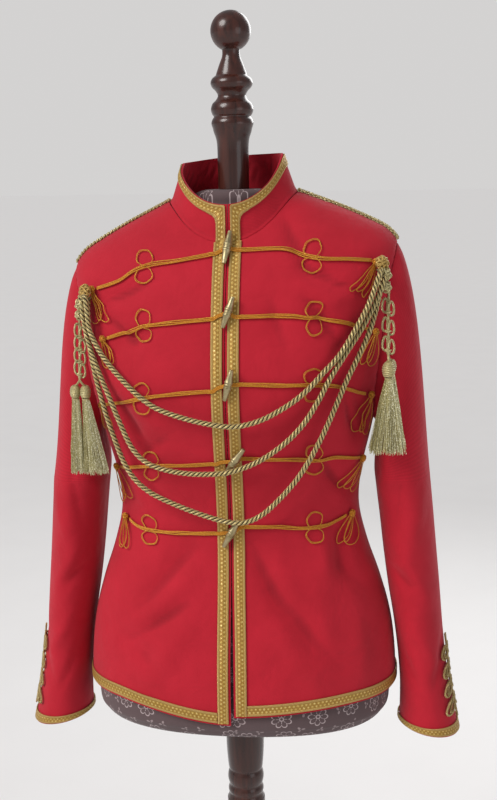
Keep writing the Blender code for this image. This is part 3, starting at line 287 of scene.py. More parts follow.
def feed(node, **values):
    """Link worked-out values to the inputs of a shader or of a group's end."""
    for key, value in values.items():
        value.tree.links.new(value.socket, node.inputs[key.replace("_", " ")])


def cloudy(tree, scale, detail=2.0, stretch=None, **more):
    """Noise over the object; stretch is its own scale along x, y and z."""
    place = add_node(tree, "ShaderNodeTexCoord", gives="Object")
    if stretch:
        place = add_node(tree, "ShaderNodeMapping", {"Vector": place, "Scale": stretch})
    return add_node(tree, "ShaderNodeTexNoise", {"Vector": place, "Scale": scale, "Detail": detail, **more})


def ramp(value, low, high, to_low=0.0, to_high=1.0):
    return add_node(value.tree, "ShaderNodeMapRange", {"Value": value, "From Min": low, "From Max": high,
                                                       "To Min": to_low, "To Max": to_high})


def blend(factor, first, second):
    """Colour between two plain or worked-out ones."""
    first, second = [part if isinstance(part, Value) else (*part, 1.0) for part in (first, second)]
    return add_node(factor.tree, "ShaderNodeMix", {0: factor, 6: first, 7: second}, 2, data_type="RGBA")


def bump(height, strength, distance, **under):
    values = {"Height": height, "Strength": strength, "Distance": distance, **under}
    return add_node(height.tree, "ShaderNodeBump", values)


def uv_of(tree):
    return add_node(tree, "ShaderNodeUVMap", uv_map="UVMap")


def split(vector):
    return add_node(vector.tree, "ShaderNodeSeparateXYZ", {0: vector})


def new_material(name, roughness, metallic=0.0, **fixed):
    """Material with a Principled shader; fixed holds the values that are the same all over."""
    made = bpy.data.materials.new(name)
    made.use_nodes = True
    shader = made.node_tree.nodes["Principled BSDF"]
    for key, value in {"roughness": roughness, "metallic": metallic, **fixed}.items():
        shader.inputs[key.replace("_", " ").title().replace("Ior", "IOR")].default_value = value
    return made, made.node_tree, shader


def new_group(name, takes, gives):
    """Node group with named sockets: takes maps names to numbers, or to None for a vector, gives lists names."""
    group = bpy.data.node_groups.new(name, "ShaderNodeTree")
    for key, value in takes.items():
        kind = "NodeSocketVector" if value is None else "NodeSocketFloat"
        socket = group.interface.new_socket(name=key, in_out="INPUT", socket_type=kind)
        if value is not None:
            socket.default_value = value
    for key in gives:
        group.interface.new_socket(name=key, in_out="OUTPUT", socket_type="NodeSocketFloat")
    return group, Value(group, group.nodes.new("NodeGroupInput").outputs[0]), group.nodes.new("NodeGroupOutput")


def use_group(tree, group, **inputs):
    return add_node(tree, "ShaderNodeGroup", {"UV": uv_of(tree), **inputs}, node_tree=group)


# Fine threads wound round a cord: UV is metres along it and turns round it.
THREAD_GROUP, takes, gives = new_group("wound_threads", {"UV": None, "Pitch": 0.003, "Threads": 6.0},
                                       ("Height", "Glint", "Tone"))
along = split(takes["UV"])
wound = along / takes["Pitch"] + along["Y"] * takes["Threads"]
height = (wound * (2.0 * math.pi)).sine().times_plus(0.5, 0.5)
# Glint marks where painted highlights go: small bright specks on the threads' tops.
feed(gives, Height=height, Glint=ramp(cloudy(THREAD_GROUP, 1400.0), 0.54, 0.68) * height,
     Tone=cloudy(THREAD_GROUP, 90.0, 3.0))
GROOVE_TOP = 0.19          # the place round a strand that faces outwards


def cord_material(name, dark, middle, bright, pitch, threads, roughness=0.42, metallic=0.35, depth=0.0004,
                  groove_shade=None):
    """Cord of fine threads, with painted shade: darker between the threads and lighter on their tops, and with bright
    painted glints on the metal threads; the tone also varies at random.

    Where a groove shade colour is given, the sides of each strand are painted darker towards it, as shade, away from
    the side that faces outwards.
    """
    made, tree, shader = new_material(name, roughness, metallic, sheen_weight=0.15, sheen_roughness=0.4)
    thread = use_group(tree, THREAD_GROUP, Pitch=pitch, Threads=threads)
    # Painted shade: darker where the threads dip and lighter on their tops; Tone varies the colour at random.
    body = blend(thread["Height"].times_plus(0.75, 0.2), dark, blend(thread["Tone"], dark, middle))
    # Painted highlights: bright glints over the threads' tops.
    colour = blend(thread["Glint"], blend(thread["Height"], body, middle), bright)
    # Painted shade: the sides of each strand, where the strands meet, are coloured darker.
    if groove_shade:
        colour = blend(ramp(abs(split(uv_of(tree))["Y"] - GROOVE_TOP), 0.09, 0.25), colour, groove_shade)
    feed(shader, Base_Color=colour, Roughness=thread["Glint"].times_plus(-0.2, roughness),
         Normal=bump(thread["Height"], 0.7, depth))
    return made


# The near black groove colour is painted shade between the strands; the bright colour is for painted glints.
ROPE_MATERIAL = cord_material("pale_gold_rope", (0.36, 0.26, 0.085), (0.62, 0.49, 0.20), (0.95, 0.85, 0.48),
                              pitch=0.0036, threads=4.0, metallic=0.30, groove_shade=(0.035, 0.020, 0.006))
MM = 0.001                 # the long tables below are in millimetres
ROPE_RADIUS = 0.0035
ROPE_PITCH = 0.0185
# Points of the three routes in millimetres, x, y and height, from the wearer's right rosette to the left one
ROPE_ROUTES = {
    "swag_1": [
        (-190.5, -64, 1337), (-183.5, -79, 1337), (-180, -86, 1333), (-178, -88, 1315), (-175, -91, 1295),
        (-164, -98, 1274), (-150, -108, 1257), (-131, -120, 1239), (-110, -129, 1221), (-86, -134, 1205),
        (-55, -137, 1194), (-20, -139, 1186), (12, -139, 1183), (45, -137, 1191), (78, -134, 1209),
        (101, -131, 1227), (120, -125, 1247), (140, -115, 1268), (159, -104, 1298), (175, -93, 1328),
        (186, -84, 1358), (190, -74, 1366), (195, -60, 1369),
    ],
    "swag_2": [
        (-192.5, -62, 1335), (-189, -73, 1335), (-187, -80, 1331), (-184, -83, 1305), (-177, -88, 1276),
        (-165, -97, 1246), (-150, -107, 1214), (-136, -111, 1180), (-123, -112, 1151), (-108, -114, 1134),
        (-88, -118, 1125), (-60, -122, 1120), (-30, -125, 1119), (0, -128, 1122), (25, -128, 1130),
        (50, -128, 1143), (76, -128, 1163), (97, -128, 1186), (114, -127, 1213), (129, -121, 1241),
        (148, -108, 1270), (167, -96, 1299), (183, -85, 1329), (192, -80, 1352), (195.5, -71, 1362),
        (196.5, -60.5, 1368),
    ],
    "swag_3": [
        (-189.5, -62, 1335), (-184, -69, 1334), (-181, -74, 1328), (-180, -77, 1300), (-178, -81, 1270),
        (-171, -90, 1241), (-163, -96, 1212), (-155, -99, 1184), (-146, -100, 1156), (-136, -101, 1129),
        (-122, -104, 1107), (-101, -108, 1090), (-70, -114, 1077), (-38, -118, 1066), (-5, -120, 1057),
        (20, -120, 1056), (42, -119, 1066), (64, -118, 1086), (84, -118, 1109), (100, -118, 1133),
        (113, -118, 1157), (125, -117, 1182), (136, -114, 1207), (148, -108, 1235), (162, -98, 1263),
        (175, -89, 1292), (184, -80, 1322), (190, -73, 1350), (193.5, -66, 1362), (195.5, -59, 1367),
    ],
}
for rope_name, route in ROPE_ROUTES.items():
    path = curve_through(np.array(route) * MM, 0.002)
    shape = Shape()
    shape.twisted(path, ROPE_RADIUS, 3, ROPE_PITCH, sides=8, per_turn=10)
    rope = make_piece("rope_" + rope_name, shape, ROPE_MATERIAL, [rope_name])
    [tuple(p) for p in resample(path, 0.012)]

# ---------------------------------------------------------------- floor and light
# A plain pale floor and soft studio light: a broad soft key from the viewer's left and above, a weak fill from
# the right and one from behind. The view shows the surroundings paler than they light the part.
FLOOR_HALF = 60.0
floor_mesh = bpy.data.meshes.new("floor")
floor_mesh.from_pydata([(x * FLOOR_HALF, y * FLOOR_HALF, 0.0) for x, y in ((-1, -1), (1, -1), (1, 1), (-1, 1))], [],
                       [(0, 1, 2, 3)])
floor = bpy.data.objects.new("floor", floor_mesh)
bpy.context.scene.collection.objects.link(floor)
floor_finish, tree, shader = new_material("pale_floor", 0.95, specular_ior_level=0.1)
feed(shader, Base_Color=blend(cloudy(tree, 5.0, 4.0), (0.780, 0.770, 0.765), (0.812, 0.803, 0.797)))
floor_mesh.materials.append(floor_finish)

# Name, kind, place, aimed at, width in metres (in degrees for the sun), power, colour
LAMPS = [
    ("key", "SUN", (-2.25, -1.95, 2.25), (0.0, 0.0, 0.0), 32.0, 2.55, (1.0, 0.985, 0.965)),
    ("fill", "AREA", (2.3, -1.9, 1.5), (0.0, 0.0, 1.1), 1.6, 9.0, (0.95, 0.97, 1.0)),
    ("back", "AREA", (0.9, 2.4, 2.4), (0.0, 0.0, 1.2), 1.6, 30.0, (1.0, 1.0, 1.0)),
]
for light_name, kind, place, aim, width, power, colour in LAMPS:
    light = bpy.data.lights.new(light_name, kind)
    if kind == "SUN":
        light.angle = math.radians(width)
    else:
        light.size = width
    light.energy = power
    light.color = colour
    holder = bpy.data.objects.new(light_name, light)
    holder.location = place
    holder.rotation_euler = (Vector(aim) - Vector(place)).to_track_quat("-Z", "Y").to_euler()
    bpy.context.scene.collection.objects.link(holder)
WORLD_SEEN = (0.655, 0.645, 0.640, 1.0)
WORLD_LIGHT = (0.33, 0.33, 0.34, 1.0)
world = bpy.data.worlds.new("studio")
world.use_nodes = True
tree = world.node_tree
tree.nodes["Background"].inputs["Color"].default_value = WORLD_LIGHT
lit = Value(tree, tree.nodes["Background"].outputs[0])
seen = add_node(tree, "ShaderNodeBackground", {"Color": WORLD_SEEN})
by_camera = add_node(tree, "ShaderNodeLightPath", gives="Is Camera Ray")
feed(tree.nodes["World Output"], Surface=add_node(tree, "ShaderNodeMixShader", {0: by_camera, 1: lit, 2: seen}))
bpy.context.scene.world = world
bpy.context.scene.view_settings.view_transform = "Standard"

# ---------------------------------------------------------------- garment surface
# The jacket's outer surface: level sections from hem to neck, the largest folds and smaller creases.
# Places on it are (quarter turns round from the centre front, position in SECTIONS).
HEM_Z = 0.806
HEM_DIP_LEFT = 0.010       # how much lower the hem is at the centre front than behind
HEM_DIP_RIGHT = 0.021
NECK_HALF_WIDTH = 0.0840   # half sizes of the upright oval that the neckline is cut along
NECK_FRONT_DEPTH = 0.0700
NECK_BACK_DEPTH = 0.0600
NECK_LOWEST_Z = 1.3850     # the neckline is looked for from here up
ARMPIT_Z = 1.160
SHOULDER_Z = 1.384
ARMHOLE_CUT = 0.27         # how deep the armhole is cut into the front, in quarter turns
BACK_CUT = 0.8 * ARMHOLE_CUT
LEAN = 0.062               # metres up for each metre towards the wearer's left, at the shoulders
LEAN_FROM_Z = 1.00
LEAN_TO_Z = 1.36
# Height, half width, front depth and back depth in millimetres, squareness of the section's corners
SECTIONS = np.array([
    (745, 204, 127, 128, 0.045), (800, 209, 128, 130, 0.045), (850, 208, 125, 127, 0.045),
    (900, 201.5, 118, 119, 0.045), (950, 188, 110, 109, 0.045), (1000, 171, 103, 99, 0.045),
    (1050, 160, 101, 93, 0.045), (1100, 164, 107, 96, 0.045), (1150, 176, 118, 102, 0.05),
    (1200, 188, 127, 107, 0.05), (1250, 199, 127, 110, 0.05), (1300, 207, 117, 111, 0.045),
    (1345, 211.5, 102, 106, 0.04), (1378, 212, 86, 98, 0.03), (1400, 198, 71.5, 90, 0.02),
    (1416, 172, 62, 83, 0.01), (1433, 138, 53, 75, 0), (1448, 104, 46, 67, 0), (1463, 70, 40, 57, 0),
]) * [MM, MM, MM, MM, 1.0]
# In millimetres: face (1 front, -1 back), x and height of its start, x and height of its end, half width,
# rise (troughs below 0). The first rows are the largest folds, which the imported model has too.
FOLDS = np.array([
    (1, -150, 1245, -60, 1225, 40, 5), (1, 60, 1225, 150, 1245, 40, 5), (1, -165, 1170, -110, 1060, 13, 4),
    (1, 170, 1180, 140, 1070, 11, 4), (1, -60, 985, -140, 880, 14, 3), (1, -50, 920, -120, 825, 15, 3.4),
    (1, 105, 985, 125, 850, 16, 3), (1, 158, 930, 168, 840, 11, 3.6), (1, 172, 1345, 118, 1318, 14, 4),
    (-1, 60, 1130, 70, 900, 14, 4), (-1, -60, 1130, -70, 900, 14, 4), (-1, 150, 1250, 80, 1150, 15, 3.5),
    (-1, -150, 1250, -80, 1150, 15, 3.5),
    # smaller creases of the chest, the waist, the skirt and the back
    (1, 70, 1426, 104, 1356, 9, -5.8), (1, 94, 1368, 172, 1326, 7.5, -6.2), (1, 88, 1350, 128, 1320, 8, 3),
    (1, 98, 1334, 142, 1268, 8, -5.6), (1, 122, 1346, 160, 1352, 6, 2.6), (1, 176, 1306, 132, 1258, 7, -4.8),
    (1, 52, 1342, 76, 1262, 11, -3.8), (1, 146, 1206, 160, 1146, 6, -6), (1, 158, 1206, 170, 1156, 6, -4.8),
    (1, 118, 1128, 142, 1076, 8, -6.2), (1, 128, 1092, 150, 1050, 8, 3.6), (1, 134, 1040, 146, 968, 11, -7.2),
    (1, 112, 1030, 122, 968, 10, 3.4), (1, 142, 984, 186, 932, 10, -5.6), (1, 26, 1018, 66, 934, 12, -6.2),
    (1, 58, 960, 138, 856, 12.5, -6.6), (1, 44, 930, 112, 838, 12, 3.4), (1, 52, 1010, 88, 944, 12, 2.6),
    (1, -166, 1334, -90, 1364, 7, -5.2), (1, -160, 1324, -112, 1286, 7, -5.4), (1, -150, 1334, -104, 1330, 6, 2.6),
    (1, -148, 1282, -88, 1302, 8, -4), (1, -84, 1366, -60, 1328, 14, -2.6), (1, -144, 1220, -106, 1150, 8, -5.4),
    (1, -122, 1226, -86, 1172, 9, 2.8), (1, -120, 1136, -70, 1172, 10, -3.4), (1, -172, 1170, -138, 1095, 8, -3.4),
    (1, -50, 1014, -120, 932, 13, -6.2), (1, -60, 940, -146, 884, 10, -5.6), (1, -142, 890, -94, 846, 14, -3.2),
    (-1, 4, 1080, -4, 960, 11, -4.8), (-1, 116, 1066, 38, 1045, 8, -4.8), (-1, -108, 1056, -44, 1048, 8, -4.2),
    (-1, 118, 1004, 138, 858, 10, -5.4), (-1, -124, 996, -132, 868, 10, -4.8), (-1, 168, 1246, 118, 1158, 9, -5.7),
    (-1, -166, 1236, -124, 1166, 9, -5.1), (-1, 150, 1330, 60, 1310, 10, -4.5),
    (-1, -146, 1320, -72, 1312, 10, -4.2),
]) * ([1.0] + [MM] * 6)
FINE_LEVELS = np.linspace(0.0, len(SECTIONS) - 1.0, 4001)
FINE_HEIGHTS = catmull(SECTIONS, FINE_LEVELS)[:, 0]


def level_at(z):
    """Position in SECTIONS whose height is z."""
    return np.interp(z, FINE_HEIGHTS, FINE_LEVELS)


def smooth_step(value, low, high):
    f = np.clip((value - low) / (high - low), 0.0, 1.0)
    return f * f * (3.0 - 2.0 * f)


def lean(points):
    """The shoulders lean down to the wearer's right, the waist and the hem don't."""
    points = points.copy()
    points[..., 2] += LEAN * smooth_step(points[..., 2], LEAN_FROM_Z, LEAN_TO_Z) * points[..., 0]
    return points


def section_point(quarter, level, inset=0.0):
    quarter, level = np.broadcast_arrays(np.asarray(quarter, dtype=float), np.asarray(level, dtype=float))
    z, half_width, front, back, square = np.moveaxis(catmull(SECTIONS, level), -1, 0)
    angle = quarter * np.pi / 2.0
    depth = np.where(np.cos(angle) > 0.0, front, back) - inset
    swell = 1.0 + square * np.sin(2.0 * angle) ** 2
    return np.stack([(half_width - inset) * np.sin(angle) * swell, -depth * np.cos(angle) * swell, z], axis=-1)


def fold_bump(across, along, run, width, height, ends):
    """Rise at places measured from a fold's start; run is the way to its end, where only the share ends is left."""
    held = np.clip((across * run[0] + along * run[1]) / (run[0] * run[0] + run[1] * run[1]), 0.0, 1.0)
    off = np.hypot(across - held * run[0], along - held * run[1])
    return height * np.exp(-(off / width) ** 2) * (ends + (1.0 - ends) * np.sin(np.pi * held))


def fold_rise(points, face):
    """Height of folds and creases at points on the front (face above 0) or the back."""
    rise = np.zeros(points.shape[:-1])
    for fold_face, x0, z0, x1, z1, width, height in FOLDS:
        bump_here = fold_bump(points[..., 0] - x0, points[..., 2] - z0, (x1 - x0, z1 - z0), width, height, 0.35)
        rise += np.where(face * fold_face > 0, bump_here, 0.0)
    return rise


def folded_point(quarter, level):
    points = section_point(quarter, level)
    facing = np.cos(np.asarray(quarter) * np.pi / 2.0)
    fade = np.minimum(1.0, np.abs(facing) / 0.25)
    outward = unit(np.stack([points[..., 0] * 0.6, points[..., 1], np.zeros(points.shape[:-1])], axis=-1))
    return points + outward * (fold_rise(points, np.where(facing > 0.0, 1, -1)) * fade)[..., None]


def surface(quarter, level, out=0.0):
    """Points and normals of the outer surface, moved out along the normal."""
    step = 0.004
    quarter, level = np.broadcast_arrays(np.asarray(quarter, dtype=float), np.asarray(level, dtype=float))
    across = lean(folded_point(quarter + step, level)) - lean(folded_point(quarter - step, level))
    rise = lean(folded_point(quarter, level + step * 4)) - lean(folded_point(quarter, level - step * 4))
    normal = unit(np.cross(across, rise))
    return lean(folded_point(quarter, level)) + normal * np.asarray(out)[..., None], normal


def at_xz(x, z, out=0.0):
    """Points and normals of the front over the places x, z of the untilted front."""
    x, z = np.broadcast_arrays(np.asarray(x, dtype=float), np.asarray(z, dtype=float))
    level = level_at(z)
    low, high = np.zeros(x.shape), np.ones(x.shape)
    for _ in range(26):
        middle = 0.5 * (low + high)
        inside = section_point(middle, level)[..., 0] < np.abs(x)
        low, high = np.where(inside, middle, low), np.where(inside, high, middle)
    return surface(np.copysign(0.5 * (low + high), x), level, out)


def neck_level(quarter):
    """Neckline: where the surface crosses an upright oval tube."""
    quarter = np.asarray(quarter, dtype=float)
    low = np.full(quarter.shape, float(level_at(NECK_LOWEST_Z)))
    high = np.full(quarter.shape, len(SECTIONS) - 1.0)
    for _ in range(30):
        middle = 0.5 * (low + high)
        points = section_point(quarter, middle)
        depth = np.where(points[..., 1] < 0.0, NECK_FRONT_DEPTH, NECK_BACK_DEPTH)
        outside = (points[..., 0] / NECK_HALF_WIDTH) ** 2 + (points[..., 1] / depth) ** 2 > 1.0
        low, high = np.where(outside, middle, low), np.where(outside, high, middle)
    return 0.5 * (low + high)


def hem_level(quarter):
    quarter = np.asarray(quarter, dtype=float)
    fade = smooth_step(np.abs(quarter), 0.0, 0.55)
    dip = np.where(quarter >= 0.0, HEM_DIP_LEFT, HEM_DIP_RIGHT)
    return level_at(HEM_Z - dip * (1.0 - fade))


def armhole(turn, cut, grow=1.0):
    """Armhole line: turn 0 at the shoulder, 1 at the armpit; quarters cut back from the side, and level."""
    top, bottom = level_at(SHOULDER_Z), level_at(ARMPIT_Z)
    middle = 0.5 * (top + bottom)
    angle = np.asarray(turn) * np.pi
    notch = cut * np.maximum(np.sin(angle), 0.0) ** 0.8 * (1.0 + 0.10 * (turn - 0.5))
    return notch * grow, middle + (top - middle) * np.cos(angle) * grow


# ---------------------------------------------------------------- red cloth
# The jacket is cut from a firm crimson cotton twill: diagonal ribs, a soft nap and faint mottling.
# Each panel is a thin wall between its outer grid and the same grid moved in.
WEAVE_GROUP, takes, gives = new_group("woven_cloth", {"UV": None, "Threads": 1500.0, "Diagonal": 1.0},
                                      ("Height", "Tone", "Crumple"))
across = split(takes["UV"])
wavy = add_node(WEAVE_GROUP, "ShaderNodeTexNoise", {"Vector": takes["UV"], "Scale": 700.0, "Detail": 1.0})
along = across["Y"] * takes["Threads"]
slanted = wavy.times_plus(0.8, along.times_plus(takes["Diagonal"], across * takes["Threads"]))
ribs = (slanted * math.pi).sine().times_plus(0.5, 0.5)
feed(gives, Height=(along * (2.0 * math.pi)).sine().times_plus(0.25, ribs),
     Tone=cloudy(WEAVE_GROUP, 16.0, 5.0, Roughness=0.65),
     Crumple=cloudy(WEAVE_GROUP, 22.0, 3.0, Roughness=0.5, Distortion=0.4))

# Painted shade: the cloth is coloured darker down in the creases, where shade falls.
RED_MATERIAL, tree, shader = new_material("crimson_cotton_twill", 0.82, sheen_weight=0.20, sheen_roughness=0.45,
                                          sheen_tint=(1.0, 0.55, 0.60, 1.0), specular_ior_level=0.25)
weave = use_group(tree, WEAVE_GROUP, Threads=1150.0, Diagonal=1.0)
# Painted shade: the weave's low places are coloured darker and its ribs lighter; the tone also mottles at random.
ribbed = blend(weave["Height"].times_plus(0.55, 0.45), (0.30, 0.006, 0.014),
               blend(ramp(weave["Tone"], 0.3, 0.7), (0.47, 0.0088, 0.0235), (0.57, 0.0122, 0.0315)))
# Painted shade: concave places of the mesh are coloured darker, as the shade in the creases.
painted_crease_shade = ramp(add_node(tree, "ShaderNodeNewGeometry", gives="Pointiness"), 0.470, 0.496, 0.62, 1.0)
feed(shader, Base_Color=blend(painted_crease_shade, (0.10, 0.002, 0.006), ribbed),
     Normal=bump(weave["Height"], 0.35, 0.00025, Normal=bump(weave["Crumple"], 0.75, 0.004)))

SIDES = ((1.0, "left"), (-1.0, "right"))
CLOTH = 0.0016             # thickness of the cloth
SEAM_GAP = 0.0016          # half the gap at a side seam, in quarter turns
FRONT_EDGE_X = 0.0005
FRONT_EDGE_OPEN = 0.0016   # how much further each front edge stands off the centre at the hem
NECK_SHARE = 0.45          # share of a panel's upper border that is neckline
ARMPIT_SHARE = 11 / 19
FRONT_PLACES = [0.0, 0.07, 0.165, 0.26, 0.355, 0.45, 0.56, 0.67, 0.78, 0.89, 1.0]
BACK_PLACES = [0.0, 0.1125, 0.225, 0.3375, 0.45, 0.585, 0.725, 0.865, 1.0]
ROW_STEPS = 19 * 7
SEAM_DIP = 0.0009          # how far the cloth is drawn in at a seam
SEAM_REACH = 0.0035
QUARTER_METRES = 0.29      # metres of cloth in a quarter turn, for the weave's UV
FRONT_OPEN_FROM_Z = 0.84
FRONT_SHUT_Z = 1.01


def finer(places, steps):
    last = len(places) - 1
    return np.interp(np.linspace(0.0, last, last * steps + 1), np.arange(last + 1), places)


def coons(bottom, top, left, right, u, v):
    """Grid of (quarter, level) between four borders; the top border pulls only on the upper rows."""
    w = (v ** 4)[:, None]
    grid = []
    for k in (0, 1):
        b, t = bottom(u)[k][None], top(u)[k][None]
        le, ri = left(v)[k][:, None], right(v)[k][:, None]
        ruled = (1 - w) * b + w * t + (1 - u) * le + u * ri
        corners = ((1 - u) * (1 - w) * b[:, :1] + u * (1 - w) * b[:, -1:]
                   + (1 - u) * w * t[:, :1] + u * w * t[:, -1:])
        grid.append(ruled - corners)
    return grid


def front_edge_x(z):
    return FRONT_EDGE_X + FRONT_EDGE_OPEN * (1.0 - smooth_step(z, FRONT_OPEN_FROM_Z, FRONT_SHUT_Z))


def front_edge_quarter(level):
    row = catmull(SECTIONS, level)
    return front_edge_x(row[..., 0]) / row[..., 1] / (np.pi / 2.0)


def panel_borders(side, back):
    """Lower, upper, centre and side border of a front or of half the back, each as quarters and levels."""
    edge, way, cut = (1.0 + SEAM_GAP, 1.0, BACK_CUT) if back else (1.0 - SEAM_GAP, -1.0, ARMHOLE_CUT)
    armpit = float(level_at(ARMPIT_Z))

    def centre(level):
        return 2.0 if back else front_edge_quarter(np.array(level))

    def rising(v, low, high):
        return np.interp(v, [0.0, ARMPIT_SHARE, 1.0], [low, armpit, high])

    def bottom(u):
        quarter = centre(1.0) + (edge - centre(1.0)) * u
        return quarter, hem_level(quarter * side)

    def top(u):
        start = centre(neck_level(0.0))
        quarter = start + (edge - start) * np.minimum(u / NECK_SHARE, 1.0)
        slope = np.interp(u, [NECK_SHARE, 1.0], [float(neck_level(1.0)), float(level_at(SHOULDER_Z))])
        return quarter, np.where(u <= NECK_SHARE, neck_level(quarter), slope)

    def left(v):
        if back:
            return np.full_like(v, 2.0), rising(v, float(hem_level(2.0)), float(neck_level(2.0)))
        low = float(hem_level(0.001 * side))
        level = low + (float(neck_level(0.0)) - low) * v
        return front_edge_quarter(level), level

    def right(v):
        notch, level = armhole(1.0 - np.maximum((v - ARMPIT_SHARE) / (1.0 - ARMPIT_SHARE), 0.0), cut)
        below = v <= ARMPIT_SHARE
        return (edge + way * np.where(below, 0.0, notch),
                np.where(below, rising(v, float(hem_level(1.0)), armpit), level))

    return bottom, top, left, right


def wall(shape, outer, inner, uv, round_columns=False):
    """Closed wall: the outer grid, the inner grid and the edges between them, as one round grid of rows."""
    rows = len(outer)
    if round_columns:
        shape.grid(np.concatenate([outer, inner[::-1]]), np.concatenate([uv, uv[::-1], uv[:1]]), True, True)
        return
    ring = np.concatenate([outer, inner[:, ::-1]], axis=1)
    ring_uv = np.concatenate([uv, uv[:, ::-1], uv[:, :1]], axis=1)
    start = shape.count
    shape.grid(ring, ring_uv, False, True)
    columns = outer.shape[1]
    c = np.arange(columns - 1)
    for row, flip in ((0, False), (rows - 1, True)):
        first = start + row * 2 * columns
        quad = np.stack([first + c, first + c + 1, first + 2 * columns - 2 - c, first + 2 * columns - 1 - c], axis=1)
        shape.quads.append(quad[:, ::-1] if flip else quad)
        edge = np.stack([uv[row, c], uv[row, c + 1], uv[row, c + 1], uv[row, c]], axis=1)
        shape.uvs.append(edge[:, ::-1] if flip else edge)


def seam_dip(points, borders):
    """Depth of the valley that a sewn seam draws along borders of a grid of points."""
    depth = np.zeros(points.shape[:2])
    for border in borders:
        nearest = np.min(np.linalg.norm(points[:, :, None] - border[None, None, ::3], axis=-1), axis=2)
        depth = np.maximum(depth, SEAM_DIP * np.exp(-(nearest / SEAM_REACH) ** 2))
    return depth


def cloth_panel(name, quarter, level, node, seams):
    points, normals = surface(quarter, level)
    borders = {"left": points[:, 0], "right": points[:, -1], "top": points[-1]}
    outer = points - normals * seam_dip(points, [borders[seam] for seam in seams])[..., None]
    shape = Shape()
    wall(shape, outer, outer - normals * CLOTH, np.stack([quarter * QUARTER_METRES, points[..., 2]], axis=-1))
    return make_piece(name, shape, RED_MATERIAL, [node], sharp=40.0)


panel_rows = np.linspace(0.0, 1.0, ROW_STEPS + 1)
for side, word in SIDES:
    quarter, level = coons(*panel_borders(side, False), finer(FRONT_PLACES, 6), panel_rows)
    panel = cloth_panel("cloth_front_" + word, quarter * side, level, "front_" + word, ("right", "top"))

quarter, level = coons(*panel_borders(1.0, True), finer(BACK_PLACES, 7), panel_rows)
quarter = np.concatenate([quarter[:, ::-1], 4.0 - quarter[:, 1:]], axis=1)
level = np.concatenate([level[:, ::-1], level[:, 1:]], axis=1)
panel = cloth_panel("cloth_back", quarter, level, "back", ("left", "right", "top"))

# ---------------------------------------------------------------- sleeves
# Two set-in sleeves of the same twill hang straight and empty, a little fuller at the cap than at the cuff.
# In millimetres: height, x and y of the middle, half width across, half depth fore and aft
SLEEVE_STATIONS = np.array([
    (1090, 217, 6, 36.5, 65), (1040, 222.5, 8, 36, 63), (990, 227.5, 8, 35.5, 60), (940, 233, 6, 34.5, 57),
    (890, 239, 3, 32.5, 54), (845, 244, 0, 32, 51), (805, 248, -4, 33, 49), (770, 251.5, -7, 36.5, 47.5),
    (737, 254.5, -9, 40.5, 46.5),
]) * MM
# Soft folds: start and end as turns round (0 outside, 0.25 front) and sleeve position, half width, rise
SLEEVE_FOLDS = [
    (0.3, 0.55, 0.42, 1.6, 0.012, 0.0034), (0.22, 0.45, 0.34, 2.4, 0.011, -0.0034),
    (0.12, 1.2, 0.3, 3.1, 0.014, 0.003), (0.33, 2.6, 0.16, 4.2, 0.012, 0.0032),
    (0.38, 3.4, 0.22, 3.9, 0.009, -0.0034), (0.3, 4.8, 0.14, 6.2, 0.012, 0.003),
    (0.05, 5.2, 0.2, 7.1, 0.01, -0.0026), (0.4, 5.6, 0.24, 7.4, 0.011, -0.0024),
    (0.62, 0.6, 0.74, 2.2, 0.013, 0.0028), (0.8, 1.5, 0.66, 3.6, 0.013, -0.0024),
    (0.7, 3.8, 0.86, 5.6, 0.012, 0.0024), (0.92, 4.8, 0.78, 7, 0.01, -0.0016),
]
SLEEVE_GROW = 0.965        # size of the cap's seam against the armhole's
SEAM_EASE = 0.3            # share of the cap over which its cloth turns out of the body's
SLEEVE_FULL = 0.046        # how far the cap stands out
SLEEVE_SLOPE = {1.0: -0.10, -1.0: -0.17}
CUFF_RISE = 0.014          # how much shorter a sleeve is on its inner side
SLEEVE_ROUND = 0.31        # metres round a sleeve
STATION_STEP = 0.045       # metres from one station to the next


def sleeve_armhole(turn, grow=1.0):
    """Place on the jacket where a sleeve's turn starts; turns up to a half are the front."""
    front = turn <= 0.5
    half = np.where(front, turn * 2.0, (1.0 - turn) * 2.0)
    notch, level = armhole(half, np.where(front, ARMHOLE_CUT, BACK_CUT), grow)
    return np.where(front, 1.0 - notch, 1.0 + notch), level


def sleeve_base(side, turn, v):
    """Outer points of a sleeve as if on the wearer's left, without the lean: v 0 to 1 is the cap."""
    turn = np.mod(turn, 1.0)
    quarter, level = sleeve_armhole(turn, SLEEVE_GROW)
    start = folded_point(quarter * side, level)
    start[..., 0] *= side
    angle = 2.0 * np.pi * turn
    row = catmull(SLEEVE_STATIONS, np.maximum(v - 1.0, 0.0))
    end = np.stack([row[..., 1] + row[..., 3] * np.cos(angle), row[..., 2] - row[..., 4] * np.sin(angle),
                    row[..., 0]], axis=-1)
    last = len(SLEEVE_STATIONS) - 1.0
    lifted = smooth_step(v - 1.0, last - 1.0, last) * CUFF_RISE * (0.5 - 0.5 * np.cos(angle))
    end[..., 2] += np.where(v > 1.0, lifted, 0.0)
    outer = (0.5 + 0.5 * np.cos(angle))[..., None]
    leave = np.concatenate([0.52 - 0.10 * outer, np.zeros_like(outer), -0.53 - 0.35 * outer], axis=-1)
    p1 = start + leave * (0.022 + SLEEVE_FULL * outer)
    p2 = end + np.array([SLEEVE_SLOPE[side], 0.0, 1.0]) * (0.030 + 0.070 * outer)
    f = np.clip(v, 0.0, 1.0)[..., None]
    g = 1.0 - f
    return start * g ** 3 + p1 * 3 * g * g * f + p2 * 3 * g * f * f + end * f ** 3


